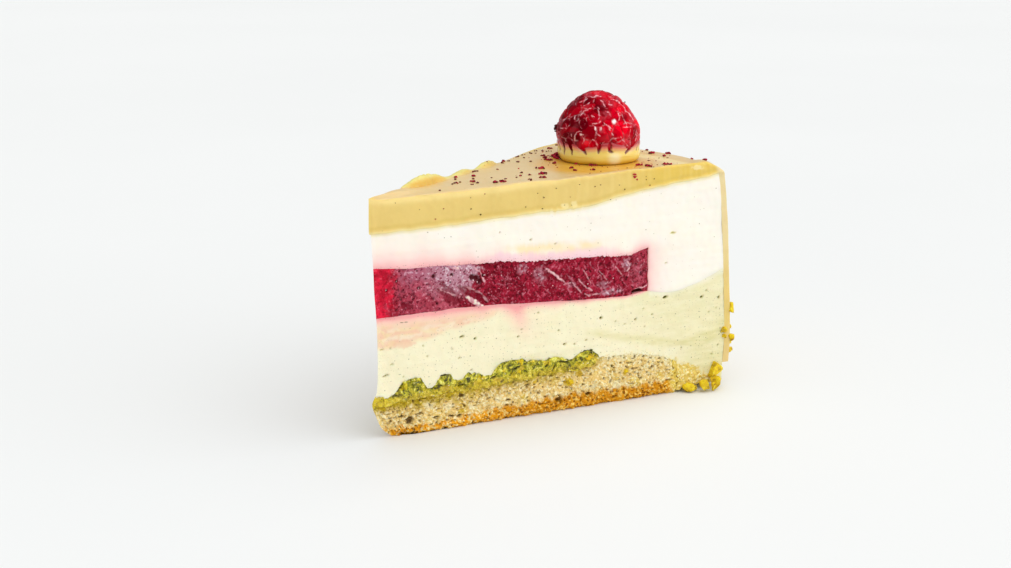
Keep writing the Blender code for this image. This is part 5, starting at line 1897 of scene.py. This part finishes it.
for x, y, radius in HEAPS:
    heap = on_glaze(Vector((x, y, 0)) - TIP)
    for i in range(4 + round(14 * radius * radius)):
        aside = Vector((chance.gauss(0, radius * 0.48), chance.gauss(0, radius * 0.48), 0))
        size = chance.uniform(0.16, 0.36) * (1.3 if radius > 1.2 else 1.0)
        lift = 0.5 * size + max(radius - 0.8, 0) * (1 - min(aside.length / radius, 1)) * chance.random()
        rough_grain(crumbs, heap + aside + Vector((0, 0, lift)), size, chance, crumb_tone)
for x, y in FLECKS:
    for i in range(chance.randint(1, 3)):
        spot = on_glaze(Vector((x + chance.gauss(0, 0.25), y + chance.gauss(0, 0.25), 0)))
        raised = spot + Vector((0, 0, 0.08))
        rough_grain(crumbs, raised, chance.uniform(0.14, 0.30), chance, crumb_tone, 0.1)
for reach, height in CUT_SPECKS:
    rough_grain(crumbs, on_cut(reach, height), chance.uniform(0.12, 0.22), chance, crumb_tone, -0.6)
red_flake = on_cut(72.3, 57.9)
for i in range(5):
    aside = Vector((chance.gauss(0, 0.3), 0, chance.gauss(0, 0.4)))
    rough_grain(crumbs, red_flake + aside, chance.uniform(0.2, 0.35), chance, crumb_tone, 1.0)
for i in range(230):
    away = 12.5 + abs(chance.gauss(0, 20))
    turn = chance.uniform(0, math.tau)
    spot = Vector((BERRY.x + math.cos(turn) * away, BERRY.y + math.sin(turn) * away, 0))
    if spot.xy.length < 95 and abs(math.atan2(spot.y, spot.x)) < HALF * 0.95 and spot.x > 18:
        rough_grain(crumbs, on_glaze(spot), chance.uniform(0.08, 0.22), chance, crumb_tone)
BERRY_FLECKS = (
    (-11.1, 1.1, 0.4), (-11.2, 0.4, 0.5), (-11.0, -0.4, 0.45), (-10.9, -4.0, 0.4), (6.9, 7.2, 0.2),
    (0.9, 10.2, 0.2),
)
for right, up, radius in BERRY_FLECKS:
    rough_grain(crumbs, BERRY + SEEN_RIGHT * right + SEEN_UP * up, radius, chance, crumb_tone, 0.0)

# %% Crumb finish
crumb_finish, tree, shader = new_finish("Dried raspberry", 0.7, shine=0.2)
block = place_in_block(tree)
colour = blend(tree, mark(tree, "tone"), (0.075, 0.004, 0.010), (0.44, 0.006, 0.035))
colour = blend(tree, rise(tree, mark(tree, "tone"), -0.2, -0.5), colour, (0.13, 0.075, 0.012))
colour = blend(tree, rise(tree, cloud(tree, block, 0.5, 2), 0.55, 0.7), colour, (0.66, 0.03, 0.06))
tree.links.new(colour, shader.inputs["Base Color"])
settle(crumbs, "raspberry_crumbs", crumb_finish)

# %% [markdown]
# The floor is plain and pale, so that nothing draws the eye from the cake. It still has a finish
# of its own: a very faint cloud, so that it doesn't look like cut-out paper.

# %% Floor finish
floor_finish, tree, shader = new_finish("Pale floor", 0.6, shine=0.2)
coordinates = add_node(tree, "ShaderNodeTexCoord", {}).outputs["Object"]
faint = add_node(
    tree, "ShaderNodeTexNoise", {"Vector": coordinates, "Scale": 3.0, "Detail": 3.0}
).outputs["Fac"]
pale = blend(tree, rise(tree, faint, 0.3, 0.7), (0.811, 0.825, 0.824), (0.825, 0.839, 0.838))
tree.links.new(pale, shader.inputs["Base Color"])
floor.data.materials.append(floor_finish)
